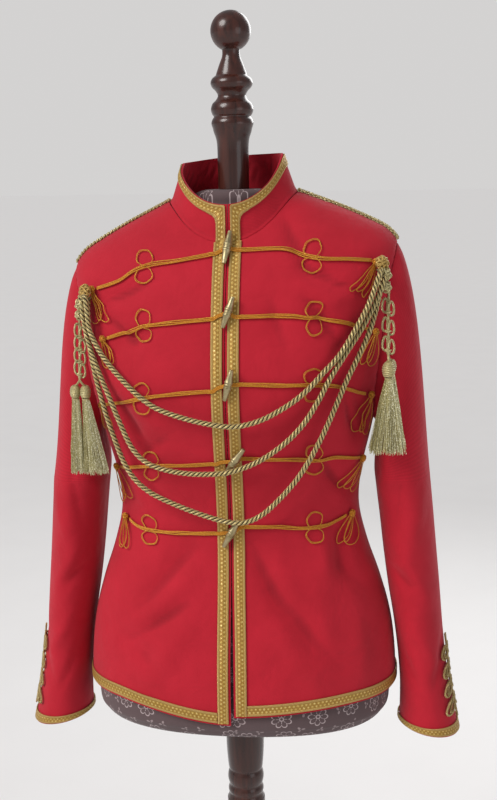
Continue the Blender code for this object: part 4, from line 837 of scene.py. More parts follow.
def sleeve_surface(side, turn, v, out=0.0):
    """Points and normals of a sleeve; turn 0 is its outer side and a quarter turn is its front."""
    turn, v = np.broadcast_arrays(np.asarray(turn, dtype=float), np.asarray(v, dtype=float))
    last = float(len(SLEEVE_STATIONS))
    around = sleeve_base(side, turn + 0.01, v) - sleeve_base(side, turn - 0.01, v)
    down = sleeve_base(side, turn, np.minimum(v + 0.02, last)) - sleeve_base(side, turn, np.maximum(v - 0.02, 0.0))
    normal = unit(np.cross(down, around))
    angle = 2.0 * np.pi * turn
    outward = np.stack([np.cos(angle), -np.sin(angle), np.zeros_like(angle)], axis=-1)
    normal = np.where((normal * outward).sum(axis=-1, keepdims=True) < 0.0, -normal, normal)
    wrapped = np.mod(turn, 1.0)
    flat = surface(*sleeve_armhole(wrapped))[1]
    ease = smooth_step(v, 0.0, SEAM_EASE)[..., None]
    normal = unit(flat * (1.0 - ease) + normal * ease)
    rise = np.zeros(turn.shape)
    for turn0, v0, turn1, v1, width, height in SLEEVE_FOLDS:
        run = ((turn1 - turn0) * SLEEVE_ROUND, (v1 - v0) * STATION_STEP)
        rise += fold_bump((wrapped - turn0) * SLEEVE_ROUND, (v - v0) * STATION_STEP, run, width, height, 0.3)
    rise *= smooth_step(v, 0.1, 0.7) * (1.0 - smooth_step(v, last - 1.2, last - 0.4))
    mirror = np.array([side, 1.0, 1.0])
    points = sleeve_base(side, turn, v) + normal * (rise + out)[..., None]
    return lean(points * mirror), normal * mirror


SLEEVE_COLUMNS = 96
sleeve_rows = np.concatenate([np.linspace(0.0, 1.0, 31)[:-1], np.linspace(1.0, 9.0, 105)])[:, None]
for side, word in SIDES:
    turn = np.arange(SLEEVE_COLUMNS)[None] / SLEEVE_COLUMNS
    cap_seam = np.exp(-(sleeve_rows * 0.09 / SEAM_REACH) ** 2)
    long_seam = np.exp(-((turn - 0.5) * SLEEVE_ROUND / (SEAM_REACH * 0.7)) ** 2)
    outer, normals = sleeve_surface(side, turn, sleeve_rows, -SEAM_DIP * np.maximum(cap_seam, long_seam))
    uv = np.stack(np.broadcast_arrays(np.linspace(0.0, SLEEVE_ROUND, SLEEVE_COLUMNS + 1)[None],
                                      -STATION_STEP * sleeve_rows), axis=-1)
    shape = Shape()
    wall(shape, outer, outer - normals * CLOTH, uv, round_columns=True)
    sleeve = make_piece("cloth_sleeve_" + word, shape, RED_MATERIAL, ["sleeve_" + word], sharp=40.0)
    "front_" + word

# ---------------------------------------------------------------- stand collar
# A firm stand collar of two layers of the twill, open at the centre front where its corners part.
COLLAR_HEIGHT = 0.0455
COLLAR_DRAW_IN = 0.08      # at the front, as a share of the height
COLLAR_DRAW_IN_SIDE = 0.27 # as much more at the sides
COLLAR_GAP = 0.0012
COLLAR_INSET = 0.0032
COLLAR_QUARTER_METRES = 0.115      # metres of collar in a quarter turn, for the weave's UV


def collar_ripple(quarter, height):
    return 0.0006 * np.sin(quarter * 9.0 + 0.7) * (height / COLLAR_HEIGHT)


def collar_point(quarter, height, out=0.0):
    """The neckline ring raised, drawn in a little and leaning forward with the neck."""
    quarter, height, out = np.broadcast_arrays(np.asarray(quarter, dtype=float), height, out)
    base, _ = surface(quarter, neck_level(quarter))
    angle = quarter * np.pi / 2.0
    draw_in = np.maximum(height, 0.0) * (COLLAR_DRAW_IN + COLLAR_DRAW_IN_SIDE * np.abs(np.sin(angle)))
    seam = COLLAR_INSET * (0.45 + 0.55 * smooth_step(height, 0.0, 0.006)) + 0.0016 * smooth_step(-height, 0.0, 0.002)
    shift = out - draw_in - seam
    lift = height * (1.0 + 0.06 * (0.5 - 0.5 * np.cos(angle)))
    return base + np.stack([np.sin(angle) * shift, -np.cos(angle) * shift - 0.10 * height, lift], axis=-1)


start = float(front_edge_quarter(neck_level(np.array(0.0))))
quarter = np.linspace(start, 4.0 - start, 241)[None]
height = np.concatenate([[-0.0045, -0.0020, -0.0004, 0.0008, 0.0022, 0.0040],
                         np.linspace(0.0065, COLLAR_GAP + COLLAR_HEIGHT, 14)])[:, None]
signed = np.where(quarter > 2.0, quarter - 4.0, quarter)
ripple = collar_ripple(quarter, height)
outer = collar_point(signed, height, ripple)
crinkle = (0.0009 * np.sin(quarter * 21.0 + 8.0 * height / COLLAR_HEIGHT) + 0.0006 * np.sin(quarter * 37.0)
           ) * smooth_step(height, 0.006, 0.02) * (1.0 - smooth_step(height, 0.034, 0.045))
inner = collar_point(signed, height, ripple - CLOTH * 1.5 - np.abs(crinkle))
uv = np.stack(np.broadcast_arrays(quarter * COLLAR_QUARTER_METRES, height), axis=-1)
shape = Shape()
wall(shape, outer, inner, uv)
collar = make_piece("cloth_collar", shape, RED_MATERIAL, ["collar"], sharp=40.0)

# ---------------------------------------------------------------- woven gold braid
# Flat braid of orange gold and pale metal threads on every edge: two plain ribbed borders and a lattice of
# small bright beads between them. The beads are raised in the mesh and coloured by the same sums. Painted
# highlights: bright glints on the beads. Painted shade: the lattice and the ribs are darker where their relief dips.
BRAID_WIDTH = 0.0140
BRAID_THICK = 0.0012
BRAID_OUT = 0.0008
BEAD_REPEAT = 0.0054       # metres of braid in one repeat
BEAD_COLUMNS = (0.355, 0.645)
BEAD_RADIUS = 0.00165
BRAID_BORDER = 0.190       # share of the width that each plain border takes
BRAID_RELIEF = 0.00035
BRAID_RIB = 0.00105
BRAID_THREAD = 0.0009


def braid_relief(across, along):
    """Raised beads and ribs of the braid at shares of its width and metres of its length."""
    relief = np.zeros(np.broadcast(across, along).shape)
    for number, column in enumerate(BEAD_COLUMNS):
        phase = np.mod(along / BEAD_REPEAT + 0.5 * number, 1.0) - 0.5
        far = np.hypot((across - column) * BRAID_WIDTH, phase * BEAD_REPEAT)
        relief = np.maximum(relief, 1.0 - smooth_step(far, BEAD_RADIUS * 0.3, BEAD_RADIUS * 1.2))
    border = smooth_step(np.abs(across - 0.5), 0.5 - BRAID_BORDER - 0.03, 0.5 - BRAID_BORDER + 0.02)
    round_off = smooth_step(0.5 - np.abs(across - 0.5), 0.0, 0.06)
    return (np.maximum(relief * (1.0 - border), 0.75 * border) - 1.0 + round_off) * BRAID_RELIEF


BRAID_MATERIAL, tree, shader = new_material("gold_woven_braid", 0.42, 0.45)
across = split(uv_of(tree))
along = across["Y"]
beads = []
for number, column in enumerate(BEAD_COLUMNS):
    lengthways = ((along / BEAD_REPEAT + 0.5 * number).work("FRACT") - 0.5) * BEAD_REPEAT
    sideways = (across - column) * BRAID_WIDTH
    far = (sideways * sideways + lengthways * lengthways).work("SQRT")
    beads.append(ramp(far, BEAD_RADIUS * 1.05, BEAD_RADIUS * 0.55))
from_middle = abs(across - 0.5)
border = ramp(from_middle, 0.5 - BRAID_BORDER - 0.02, 0.5 - BRAID_BORDER + 0.02)
ribs = (along * (2.0 * math.pi / BRAID_RIB)).sine().times_plus(0.5, 0.5)
slant = along * (1.0 / BRAID_THREAD) + from_middle * 12.0
cross = (slant * (2.0 * math.pi)).sine().times_plus(0.5, 0.5)
glint = ramp(cloudy(tree, 900.0), 0.50, 0.66)
# Painted shade: the lattice lines are coloured darker where the relief dips.
ground = blend(cross, (0.26, 0.125, 0.014), (0.47, 0.27, 0.045))
# The beads' own gold, with painted highlights: glints make them brighter.
bead_colour_and_glints = blend(glint, (0.60, 0.40, 0.085), (0.98, 0.80, 0.36))
# Painted shade: the borders' ribs are coloured darker in their dips.
edging = blend(ribs, (0.40, 0.24, 0.065), (0.62, 0.42, 0.145))
woven = blend(border, blend(beads[0].work("MAXIMUM", beads[1]), ground, bead_colour_and_glints), edging)
feed(shader, Base_Color=blend(cloudy(tree, 35.0, 3.0) * 0.35, woven, (0.38, 0.23, 0.06)),
     Roughness=glint.times_plus(-0.18, 0.50), Normal=bump(cross * 0.5 + ribs * border, 0.8, 0.0003))

BRAID_ACROSS = np.array([0.0, 0.03, 0.09, 0.17, 0.215, 0.28, 0.355, 0.43, 0.50, 0.57, 0.645, 0.72, 0.785, 0.83, 0.91,
                         0.97, 1.0])


def braid_band(name, edges, node, along=None):
    """Braid between two edges, each with points and normals. It is a closed ring where along is given."""
    near, near_normal, far, far_normal = edges
    closed = along is not None
    if not closed:
        along = reach_along(0.5 * (near + far))
    a = BRAID_ACROSS[None, :, None]
    base = near[:, None] * (1.0 - a) + far[:, None] * a
    normal = unit(near_normal[:, None] * (1.0 - a) + far_normal[:, None] * a)
    top = BRAID_OUT + BRAID_THICK + braid_relief(BRAID_ACROSS[None], along[: len(near), None])
    uv = np.stack(np.broadcast_arrays(BRAID_ACROSS[None], along[:, None]), axis=-1)
    grids = [base + normal * top[..., None], base + normal * BRAID_OUT, uv]
    shape = Shape()
    wall(shape, *[grid.swapaxes(0, 1) if closed else grid for grid in grids], round_columns=closed)
    make_piece(name, shape, BRAID_MATERIAL, [node])


HEM_MARGIN = 0.0030
EDGE_MARGIN = 0.0028
NECK_FRONT_Z = float(catmull(SECTIONS, neck_level(np.array(0.0)))[0]) + 0.0002
HEM_FIRST = 0.060          # quarters from the centre front where the hem's braid starts
HEM_LAST = 0.992
for side, word in SIDES:
    low = float(catmull(SECTIONS, hem_level(0.002 * side))[0]) + HEM_MARGIN
    z = low + (NECK_FRONT_Z - low) * np.linspace(0.0, 1.0, 461)
    near_x = front_edge_x(z) + EDGE_MARGIN
    edges = (*at_xz(near_x * side, z), *at_xz((near_x + BRAID_WIDTH) * side, z))
    braid_band("braid_edge_front_" + word, edges, "braid_front_" + word)
    quarter = (HEM_FIRST + (HEM_LAST - HEM_FIRST) * np.linspace(0.0, 1.0, 191)) * side
    z = catmull(SECTIONS, hem_level(quarter))[:, 0] + HEM_MARGIN
    edges = (*surface(quarter, level_at(z)), *surface(quarter, level_at(z + BRAID_WIDTH)))
    braid_band("braid_edge_hem_" + word, edges, "braid_hem_" + word)

quarter = 2.0 + HEM_LAST * np.linspace(-1.0, 1.0, 401)
z = HEM_Z + HEM_MARGIN
edges = (*surface(quarter, level_at(z)), *surface(quarter, level_at(z + BRAID_WIDTH)))
braid_band("braid_edge_hem_back", edges, "braid_hem_back")

COLLAR_BRAID_LOW = -0.0004
COLLAR_BRAID_TOP = COLLAR_GAP + COLLAR_HEIGHT - 0.0008
COLLAR_BRAID_WIDTH = 0.0125
half_width = float(catmull(SECTIONS, neck_level(np.array(0.0)))[1])
first = (FRONT_EDGE_X + EDGE_MARGIN) / half_width / (np.pi / 2.0)
width = COLLAR_BRAID_WIDTH / half_width / (np.pi / 2.0)
inner_height = COLLAR_BRAID_TOP - COLLAR_BRAID_WIDTH
# Share of the length, then quarter and height of the outer and of the inner edge: up the front, round the corner
corner = np.array([
    (0.000, first, COLLAR_BRAID_LOW, first + width, COLLAR_BRAID_LOW),
    (0.065, first, COLLAR_BRAID_TOP - 0.0110, first + width, inner_height - 0.0110),
    (0.090, first, COLLAR_BRAID_TOP - 0.0020, first + width * 1.12, inner_height - 0.0048),
    (0.100, first + width * 0.10, COLLAR_BRAID_TOP, first + width * 1.40, inner_height - 0.0020),
    (0.130, first + width * 1.70, COLLAR_BRAID_TOP, first + width * 2.30, inner_height),
])
far_corner = corner[::-1] * [-1.0, -1.0, 1.0, -1.0, 1.0] + [1.0, 4.0, 0.0, 4.0, 0.0]
route = np.concatenate([corner, far_corner])
share = np.linspace(0.0, 1.0, 401)
edges = []
for column in (1, 3):
    q, h = [np.interp(share, route[:, 0], route[:, k]) for k in (column, column + 1)]
    ripple = collar_ripple(q, h)
    q = np.where(q > 2.0, q - 4.0, q)
    angle = q * np.pi / 2.0
    edges += [collar_point(q, h, ripple), np.stack([np.sin(angle), -np.cos(angle), 0.0 * angle], axis=-1)]
braid_band("braid_edge_collar", edges, "braid_collar")

CUFF_COLUMNS = 220
for side, word in SIDES:
    cuff_step = SLEEVE_STATIONS[-2][0] - SLEEVE_STATIONS[-1][0]
    foot_v = len(SLEEVE_STATIONS) - HEM_MARGIN / cuff_step
    turns = np.arange(CUFF_COLUMNS) / CUFF_COLUMNS
    edges = (*sleeve_surface(side, turns, foot_v), *sleeve_surface(side, turns, foot_v - BRAID_WIDTH / cuff_step))
    repeats = round(reach_along(edges[0])[-1] / BEAD_REPEAT)
    braid_band("braid_edge_cuff_" + word, edges, "braid_cuff_" + word,
               np.linspace(0.0, repeats * BEAD_REPEAT, CUFF_COLUMNS + 1))

# ---------------------------------------------------------------- corded frogging
# Five rows of orange gold soutache: three cords side by side from the front edge outwards, a figure of eight of
# two thin cords on each, and over the braid two cords that run to the toggle and round it.
FROG_MATERIAL = cord_material("orange_gold_soutache", (0.26, 0.080, 0.003), (0.72, 0.290, 0.010),
                              (1.0, 0.62, 0.09), pitch=0.0016, threads=2.0, roughness=0.46, metallic=0.40,
                              depth=0.0003)
CORD_GAP = 0.0019          # from the outer surface out to the underside of laid cords
BAR_CORD = 0.00082         # half thickness of one cord
LAID_FLAT = 0.85           # height of a laid cord over its width
BAR_SPREAD = 0.00172       # from cord to cord
LOOP_CORD = 0.00046
LOOP_ACROSS = 0.0105
LOOP_TALL = 0.0098
LOOP_LIFT = 0.0105
LOOP_OVER = 0.0012         # how far a loop rises where it crosses the bar
# Side, row, x of its two loops, stations of the bar as x and height, in millimetres
FROGS = [
    (-1, 1, -105.5, [(-19.5, 1388.5), (-65, 1383.5), (-95, 1381.5), (-118, 1375.5), (-138, 1364), (-168, 1356)]),
    (-1, 2, -103.5, [(-19.5, 1312.5), (-95, 1309), (-116, 1304), (-152, 1294)]),
    (-1, 3, -103.5, [(-19.5, 1226), (-62, 1224), (-95, 1220), (-135, 1211), (-158, 1205.5)]),
    (-1, 4, -101, [(-19.5, 1131), (-60, 1128), (-97, 1125), (-148, 1115)]),
    (-1, 5, -108.5, [(-19.5, 1036), (-65, 1034), (-102, 1033), (-125, 1035), (-138, 1041)]),
    (1, 1, 106, [(19.5, 1391), (67, 1389), (91, 1381.5), (116, 1374), (150, 1370), (176, 1366)]),
    (1, 2, 108, [(19.5, 1313), (77, 1310), (99, 1306), (120, 1303), (156, 1292), (174, 1283)]),
    (1, 3, 105, [(19.5, 1233), (60, 1230), (97, 1227.5), (123, 1224.5), (141, 1219), (168, 1206)]),
    (1, 4, 106, [(19.5, 1138), (60, 1135), (96, 1132), (114, 1128.5), (132, 1130), (157, 1123)]),
    (1, 5, 104.5, [(19.5, 1045), (60, 1044), (94, 1040), (119, 1040.5), (134, 1044), (143, 1048)]),
]
# Toggles: x and height of the upper end, x and height of the lower end
TOGGLES = [
    ((0.0035, 1.4110), (-0.0025, 1.3745)),
    ((0.0105, 1.3355), (-0.0020, 1.3010)),
    ((0.0095, 1.2515), (0.0000, 1.2150)),
    ((0.0210, 1.1540), (-0.0048, 1.1172)),
    ((0.0108, 1.0565), (-0.0092, 1.0188)),
]
TOGGLE_OUT = 0.0076
TOGGLE_TILT = 0.0034       # how much further off the cloth the upper end stands
SIDE_WORDS = {1: "left", -1: "right"}


def laid_tube(shape, x, z, out, radius, closed=False, sides=8):
    """Cord laid on the front of the jacket."""
    points, normals = at_xz(x, z, out)
    shape.tube(points, radius, sides, closed, normals, LAID_FLAT)


def line_over(stations, spacing):
    """Smooth line over the front through stations of x and height."""
    return curve_through([(x, 0.0, z) for x, z in stations], spacing)[:, ::2].T


for side, row, loop_x, bar in FROGS:
    shape = Shape()
    x, z = line_over(np.array(bar) * MM, 0.002)
    share = np.linspace(0.0, 1.0, len(x))
    for lane in (-1.0, 0.0, 1.0):
        wander = 0.00035 * np.sin(share * (9.0 + 2.0 * row) + lane * 2.1 + row) * np.sin(np.pi * share)
        offset = lane * BAR_SPREAD * (1.0 - 0.25 * share ** 4) + wander
        laid_tube(shape, x, z + offset, CORD_GAP + BAR_CORD * 0.9, BAR_CORD)
    crossing = float(np.interp(abs(loop_x) * MM, np.abs(x), z))
    angle = round_angles(44)
    for hand, lowest in ((1.0, 1.5 * np.pi), (-1.0, 0.5 * np.pi)):
        for number, grow in enumerate((1.0, 0.94)):
            wobble = (1.0 + 0.085 * np.sin(2.0 * angle + 1.7 * row + side + 2.0 * (hand > 0.0))
                      + 0.030 * np.sin(5.0 * angle + 2.3 * row + 0.4 * number))
            loop_z = crossing + hand * LOOP_LIFT * (1.0 - 0.06 * number) + LOOP_TALL * grow * wobble * np.sin(angle)
            over = LOOP_OVER * np.exp(-(np.abs(angle - lowest) / 0.5) ** 2)
            laid_tube(shape, loop_x * MM + 0.0004 * number + LOOP_ACROSS * grow * wobble * np.cos(angle), loop_z,
                      CORD_GAP + LOOP_CORD + over, LOOP_CORD, closed=True, sides=7)
    word = "%d_%s" % (row, SIDE_WORDS[side])
    make_piece("frogging_" + word, shape, FROG_MATERIAL, ["frog_" + word])

TOGGLE_CORD = 0.00088
for row, (top, foot) in enumerate(TOGGLES, 1):
    shape = Shape()
    middle = 0.5 * (np.array(top) + foot)
    for side, _, _, bar in [frog for frog in FROGS if frog[1] == row]:
        start_x, start_z = np.array(bar[0]) * MM
        for lane in (-1.0, 0.0, 1.0):
            x, z = line_over([(start_x + 0.003 * side, start_z + lane * 0.0017),
                              (0.0140 * side, start_z + lane * 0.0017),
                              (0.0085 * side, 0.5 * (start_z + middle[1]) + lane * 0.0016),
                              (middle[0] + 0.0012 * side, middle[1] + lane * 0.0014)], 0.0012)
            share = np.linspace(0.0, 1.0, len(x))
            out = BRAID_OUT + BRAID_THICK + 0.0013 + 0.0022 * smooth_step(share, 0.6, 1.0)
            laid_tube(shape, x, z, np.where(share < 0.12, out - 0.0004, out), TOGGLE_CORD)
    make_piece("toggle_cord_%d" % row, shape, FROG_MATERIAL)

# ---------------------------------------------------------------- end knots and hanging loops
# At the outer end of each bar the cords are worked into a round knot, and three thin loops hang from it.
# Side, row, then x and height of the knot and of the ends of its two outer loops, in millimetres
DROPS = [
    (-1, 1, -173.5, 1354.5, -169, 1312, -155, 1313), (-1, 2, -156.5, 1292.5, -151, 1256, -142, 1262),
    (-1, 3, -163, 1204, -163, 1168, -154, 1172), (-1, 4, -152.5, 1114, -134, 1072, -147, 1062),
    (-1, 5, -142.5, 1043.5, -152, 1000, -142, 1002), (1, 1, 180, 1363, 152.5, 1331, 166.5, 1322.5),
    (1, 2, 179, 1280, 164, 1244, 174, 1240), (1, 3, 173, 1203.5, 157, 1158, 166, 1152),
    (1, 4, 159, 1121.5, 136, 1086, 149, 1078), (1, 5, 147.5, 1050, 140, 1012, 152, 1008),
]
KNOT_RADIUS = 0.0042
DROP_CORD = 0.00062
DROP_SPREAD = 0.0082


def woven_ball(shape, centre, axis, radius, height, cord, leads=3, bights=5, core=0.80):
    """Turk's-head ball: a plain core, and one endless cord that goes over and under itself round it."""
    centre, axis = np.asarray(centre, dtype=float), unit(np.asarray(axis, dtype=float))
    across = unit(np.cross(axis, [0.0, 0.0, 1.0] if abs(axis[2]) < 0.9 else [1.0, 0.0, 0.0]))
    rise = np.cross(axis, across)

    def ball(lat, lon, scale):
        flat = np.cos(lat)[..., None] * radius * (np.cos(lon)[..., None] * across + np.sin(lon)[..., None] * rise)
        return centre + scale[..., None] * (flat + np.sin(lat)[..., None] * height * axis)

    lat, lon = np.broadcast_arrays(np.linspace(-1.45, 1.45, 9)[:, None], round_angles(14)[None])
    shape.solid(ball(lat, lon, np.full(lat.shape, core)))
    t = np.linspace(0.0, 2.0 * np.pi * leads, 60 * leads, endpoint=False)
    lat = 1.12 * np.sin(t * bights / leads)
    over = 0.09 * np.sin(t * bights * 2.0 / leads + 0.5)
    shape.tube(ball(lat, t, 1.0 + over), cord, 6, closed=True)
    shape.tube(ball(np.array([-0.9, -0.4, 0.2, 0.8, 1.3, 1.75, 2.3]), np.full(7, 0.4), np.full(7, 1.0)), cord, 6)


for side, row, *places in DROPS:
    shape = Shape()
    knot, first_end, second_end = np.array(places).reshape(3, 2) * MM
    centre, normal = at_xz(*knot, CORD_GAP + KNOT_RADIUS * 0.75)
    woven_ball(shape, centre, normal, KNOT_RADIUS * 0.95, KNOT_RADIUS * 0.75, 0.00085)
    for number, end in enumerate((first_end, second_end, 0.5 * (first_end + second_end) + [0.0, 0.003])):
        angle = np.linspace(0.04, 2.0 * np.pi - 0.04, 40)
        along = (0.5 - 0.5 * np.cos(angle)) ** 0.75
        spread = DROP_SPREAD * (1.0 - 0.22 * number + 0.22 * math.sin(2.3 * row + 1.9 * number + side))
        x = knot[0] + (end[0] - knot[0]) * along + spread * np.sin(angle) * (0.4 + 0.6 * along)
        z = knot[1] + (end[1] - knot[1]) * along + 0.0012 * np.sin(angle)
        out = CORD_GAP + DROP_CORD * 1.3 + 0.0013 * number + 0.0016 * (1.0 - along) ** 2
        laid_tube(shape, x, z, out, DROP_CORD, sides=6)
    word = "%d_%s" % (row, SIDE_WORDS[side])
    make_piece("hanging_loops_" + word, shape, FROG_MATERIAL, ["drop_" + word])

# ---------------------------------------------------------------- toggles
# Spindles of pale brushed brass, turned with a waist between two swellings, tied on at the waist.
TOGGLE_MATERIAL, tree, shader = new_material("brushed_pale_brass", 0.34, 0.95, anisotropic=0.4)
brushed = cloudy(tree, 1.0, 4.0, (300.0, 300.0, 2600.0))
feed(shader, Base_Color=blend(cloudy(tree, 160.0, 3.0), (0.24, 0.19, 0.085), (0.62, 0.54, 0.32)),
     Roughness=brushed.times_plus(0.26, 0.31), Normal=bump(brushed, 0.35, 0.0002))
# Share of the length from the upper end, radius in millimetres
TOGGLE_PROFILE = np.array([
    (0, 0.05), (0.001, 1.8), (0.008, 2.4), (0.03, 2.7), (0.06, 2.6), (0.075, 2.9), (0.18, 3.4), (0.3, 4.1),
    (0.385, 4.9), (0.405, 5.3), (0.425, 5.2), (0.436, 4.6), (0.45, 4.5), (0.465, 4.9), (0.48, 4.9), (0.49, 4.4),
    (0.51, 4.4), (0.52, 4.9), (0.535, 4.9), (0.55, 4.5), (0.564, 4.6), (0.575, 5.2), (0.595, 5.3), (0.615, 4.9),
    (0.7, 4.1), (0.82, 3.4), (0.925, 2.9), (0.94, 2.6), (0.97, 2.7), (0.992, 2.4), (0.999, 1.8), (1, 0.05),
]) * [1.0, MM]
for row, (top, foot) in enumerate(TOGGLES, 1):
    start, _ = at_xz(top[0] + 0.0001, top[1], TOGGLE_OUT + TOGGLE_TILT)
    end, _ = at_xz(foot[0] - 0.0001, foot[1], TOGGLE_OUT)
    middle, normal = at_xz(0.5 * (top[0] + foot[0]) + 0.0001, 0.5 * (top[1] + foot[1]), TOGGLE_OUT)
    axis = unit(end - start)
    length = float(np.linalg.norm(end - start))
    across = unit(np.cross(axis, normal))
    rise = np.cross(across, axis)
    turn = round_angles(28)[:, None]
    share, radius = TOGGLE_PROFILE.T[..., None, None]
    shape = Shape()
    shape.solid(middle + axis * length * (share - 0.5) + radius * (np.cos(turn) * across + np.sin(turn) * rise))
    make_piece("spindle_%d" % row, shape, TOGGLE_MATERIAL, ["toggle_%d" % row], sharp=35.0)

# ---------------------------------------------------------------- rosettes
# The ropes end at two woven ball knots of orange gold cord near the armholes.
ROSETTES = {"right": (-0.1755, 1.3510), "left": (0.1820, 1.3600)}
ROSETTE_RADIUS = 0.0080
ROSETTE_OUT = 0.0125
ROSETTE_MATERIAL = cord_material("woven_ball_knot", (0.17, 0.085, 0.012), (0.66, 0.42, 0.10), (1.0, 0.84, 0.42),
                                 pitch=0.0018, threads=2.0, roughness=0.42, metallic=0.35, depth=0.0003)
for word, (x, z) in ROSETTES.items():
    shape = Shape()
    centre, normal = at_xz(x, z, CORD_GAP + ROSETTE_OUT)
    woven_ball(shape, centre, normal, ROSETTE_RADIUS, 0.0050, 0.00130, leads=4, bights=7, core=0.76)
    make_piece("ball_knot_" + word, shape, ROSETTE_MATERIAL, ["rosette_" + word])

# ---------------------------------------------------------------- looped chains
# Below each rosette hangs a cord of pale gold twist, worked first into small knots and then into pairs of side
# loops, and divided at its foot for the tassels.
TASSEL_TOPS = {
    "right": [(-0.1985, -0.0860, 1.2240), (-0.1845, -0.0890, 1.2240)],
    "left": [(0.1990, -0.0950, 1.2560), (0.2015, -0.0810, 1.2560)],
}
# x and height of the top and of the foot, distance off the cloth, pairs of loops, then the knots: their shift in x
# and in height from the rosette, and their radius
CHAINS = {
    "right": ((-0.1850, 1.3280), (-0.1915, 1.2290), 0.0090, 4,
              ((-0.0030, -0.0165, 0.0078), (-0.0050, -0.0290, 0.0054))),
    "left": ((0.1880, 1.3350), (0.1985, 1.2590), 0.0110, 3, ((0.0010, -0.0135, 0.0070), (0.0016, -0.0265, 0.0066))),
}
CHAIN_CORD = 0.00165
CHAIN_LOOPS = (0.30, 0.82)     # how far down the first and the last pair of loops sit
LOOP_HALF_TALL = 0.0088
LOOP_HALF_WIDE = 0.0034
CHAIN_PITCH = 0.0034
LOOP_PITCH = 0.0036
KNOT_CORD = 0.00125
BAND_CORD = 0.00115
KNOT_OUT = 0.0150
CHAIN_MATERIAL = cord_material("pale_gold_chain_cord", (0.26, 0.20, 0.07), (0.66, 0.57, 0.28), (1.0, 0.94, 0.62),
                               pitch=0.0016, threads=2.0, roughness=0.36, metallic=0.42, depth=0.0002)
for word, (top, foot, stand_off, pairs, knots) in CHAINS.items():
    shape = Shape()
    top = at_xz(*top, CORD_GAP + stand_off)[0]
    foot = np.array([foot[0], 0.5 * (TASSEL_TOPS[word][0][1] + TASSEL_TOPS[word][1][1]), foot[1]])
    down = foot - top
    rosette, _ = at_xz(*ROSETTES[word], CORD_GAP + 0.0035)
    for shift in (-0.0011, 0.0011):
        bends = ((0.3, -shift), (0.55, shift), (0.78, -shift))
        crossed = [top + down * far + [sideways, 0.0, 0.0] for far, sideways in bends]
        spine = [rosette + [shift, -0.001, -0.006], top + [shift, 0.0, -0.002], *crossed, foot + [shift, 0.0, 0.006]]
        shape.twisted(curve_through(spine, 0.0015), CHAIN_CORD, 2, CHAIN_PITCH, sides=5, per_turn=7)
    angle = round_angles(24)
    for shift_x, shift_z, size in knots:
        centre, normal = at_xz(ROSETTES[word][0] + shift_x, ROSETTES[word][1] + shift_z, CORD_GAP + KNOT_OUT)
        woven_ball(shape, centre, normal, size, size * 0.72, KNOT_CORD, core=0.76)
    for share in np.linspace(*CHAIN_LOOPS, pairs):
        for hand in (-1.0, 1.0):
            centre = top + down * (share + 0.022 * hand) + [hand * (LOOP_HALF_WIDE + 0.0003), -0.0008 * hand, 0.0]
            ring = centre + np.stack([LOOP_HALF_WIDE * np.cos(angle) * (1.0 - 0.25 * np.sin(angle)),
                                      0.0011 * np.sin(2.0 * angle), LOOP_HALF_TALL * np.sin(angle)], axis=1)
            shape.twisted(ring, CHAIN_CORD, 2, LOOP_PITCH, sides=6, closed=True, per_turn=7)
        band = top + down * (share + 0.075)
        shape.tube(band + np.stack([0.0031 * np.cos(angle), 0.0027 * np.sin(angle), 0.0006 * np.cos(angle)], axis=1),
                   BAND_CORD, 6, closed=True)
    for target in TASSEL_TOPS[word]:
        leg = [foot + [0.0, 0.0, 0.008], foot + [0.0, 0.0, 0.003], 0.5 * (foot + np.array(target)), np.array(target)]
        shape.twisted(curve_through(leg, 0.0012), CHAIN_CORD, 2, CHAIN_PITCH, sides=5, per_turn=7)
    make_piece("looped_chain_" + word, shape, CHAIN_MATERIAL, ["chain_" + word])

# ---------------------------------------------------------------- tassels
# Each tassel has a ball head wound with cord, a bright binding under it and a thick skirt of fine metal
# threads with a ragged end. A plain core fills the skirt behind the threads; its dark colour is painted shade
# among the inner threads.
TASSEL_MATERIAL, tree, shader = new_material("pale_gold_tassel_thread", 0.32, 0.45)
# Painted highlights: small bright sparkles over the threads.
painted_sparkle = ramp(cloudy(tree, 650.0), 0.52, 0.68)
strand_tone = blend(split(uv_of(tree)), (0.23, 0.195, 0.070), (0.68, 0.62, 0.33))
feed(shader, Base_Color=blend(painted_sparkle, strand_tone, (1.0, 0.95, 0.70)), Roughness=painted_sparkle.times_plus(-0.15, 0.42))
# Painted shade: the core is coloured dark, as the shade inside the skirt.
PAINTED_SHADE_CORE_MATERIAL = cord_material("tassel_core_painted_shade", (0.10, 0.08, 0.03), (0.24, 0.19, 0.08), (0.6, 0.5, 0.25),
                              pitch=0.002, threads=30.0)
# Centre of the head, spread of the foot across and fore and aft, length, sideways drift, threads, head's radius
TASSELS = {
    "tassel_right_outer": ((-0.1985, -0.0860, 1.2160), 0.0105, 0.0095, 0.0965, 0.0000, 300, 0.0070),
    "tassel_right_inner": ((-0.1845, -0.0890, 1.2160), 0.0165, 0.0105, 0.0965, 0.0105, 360, 0.0070),
    "tassel_left_front": ((0.1990, -0.0960, 1.2460), 0.0235, 0.0080, 0.0940, -0.0015, 420, 0.0084),
    "tassel_left_behind": ((0.2015, -0.0800, 1.2480), 0.0190, 0.0070, 0.0950, 0.0000, 300, 0.0072),
}
HEAD_TALL = 1.22           # half height of a head in its radii
HEAD_CORD = 0.00105
HEAD_WINDS = 8.5           # turns of the cord that the head is wound with
BINDING_RADIUS = 0.0042
BINDING_CORD = 0.0008
THREAD_RADIUS = 0.00034
THREAD_WAVE = 0.0007
SKIRT_FLARE = 0.95
SKIRT_ROOT = 0.0046        # radius of the ring that the threads start in
CORE_ROOT = 0.0040


def level_ring(centre, across, deep, count):
    """Points round a level oval with half widths across and deep."""
    angle = round_angles(count)
    return np.asarray(centre) + np.stack([across * np.cos(angle), deep * np.sin(angle), 0.0 * angle], axis=1)


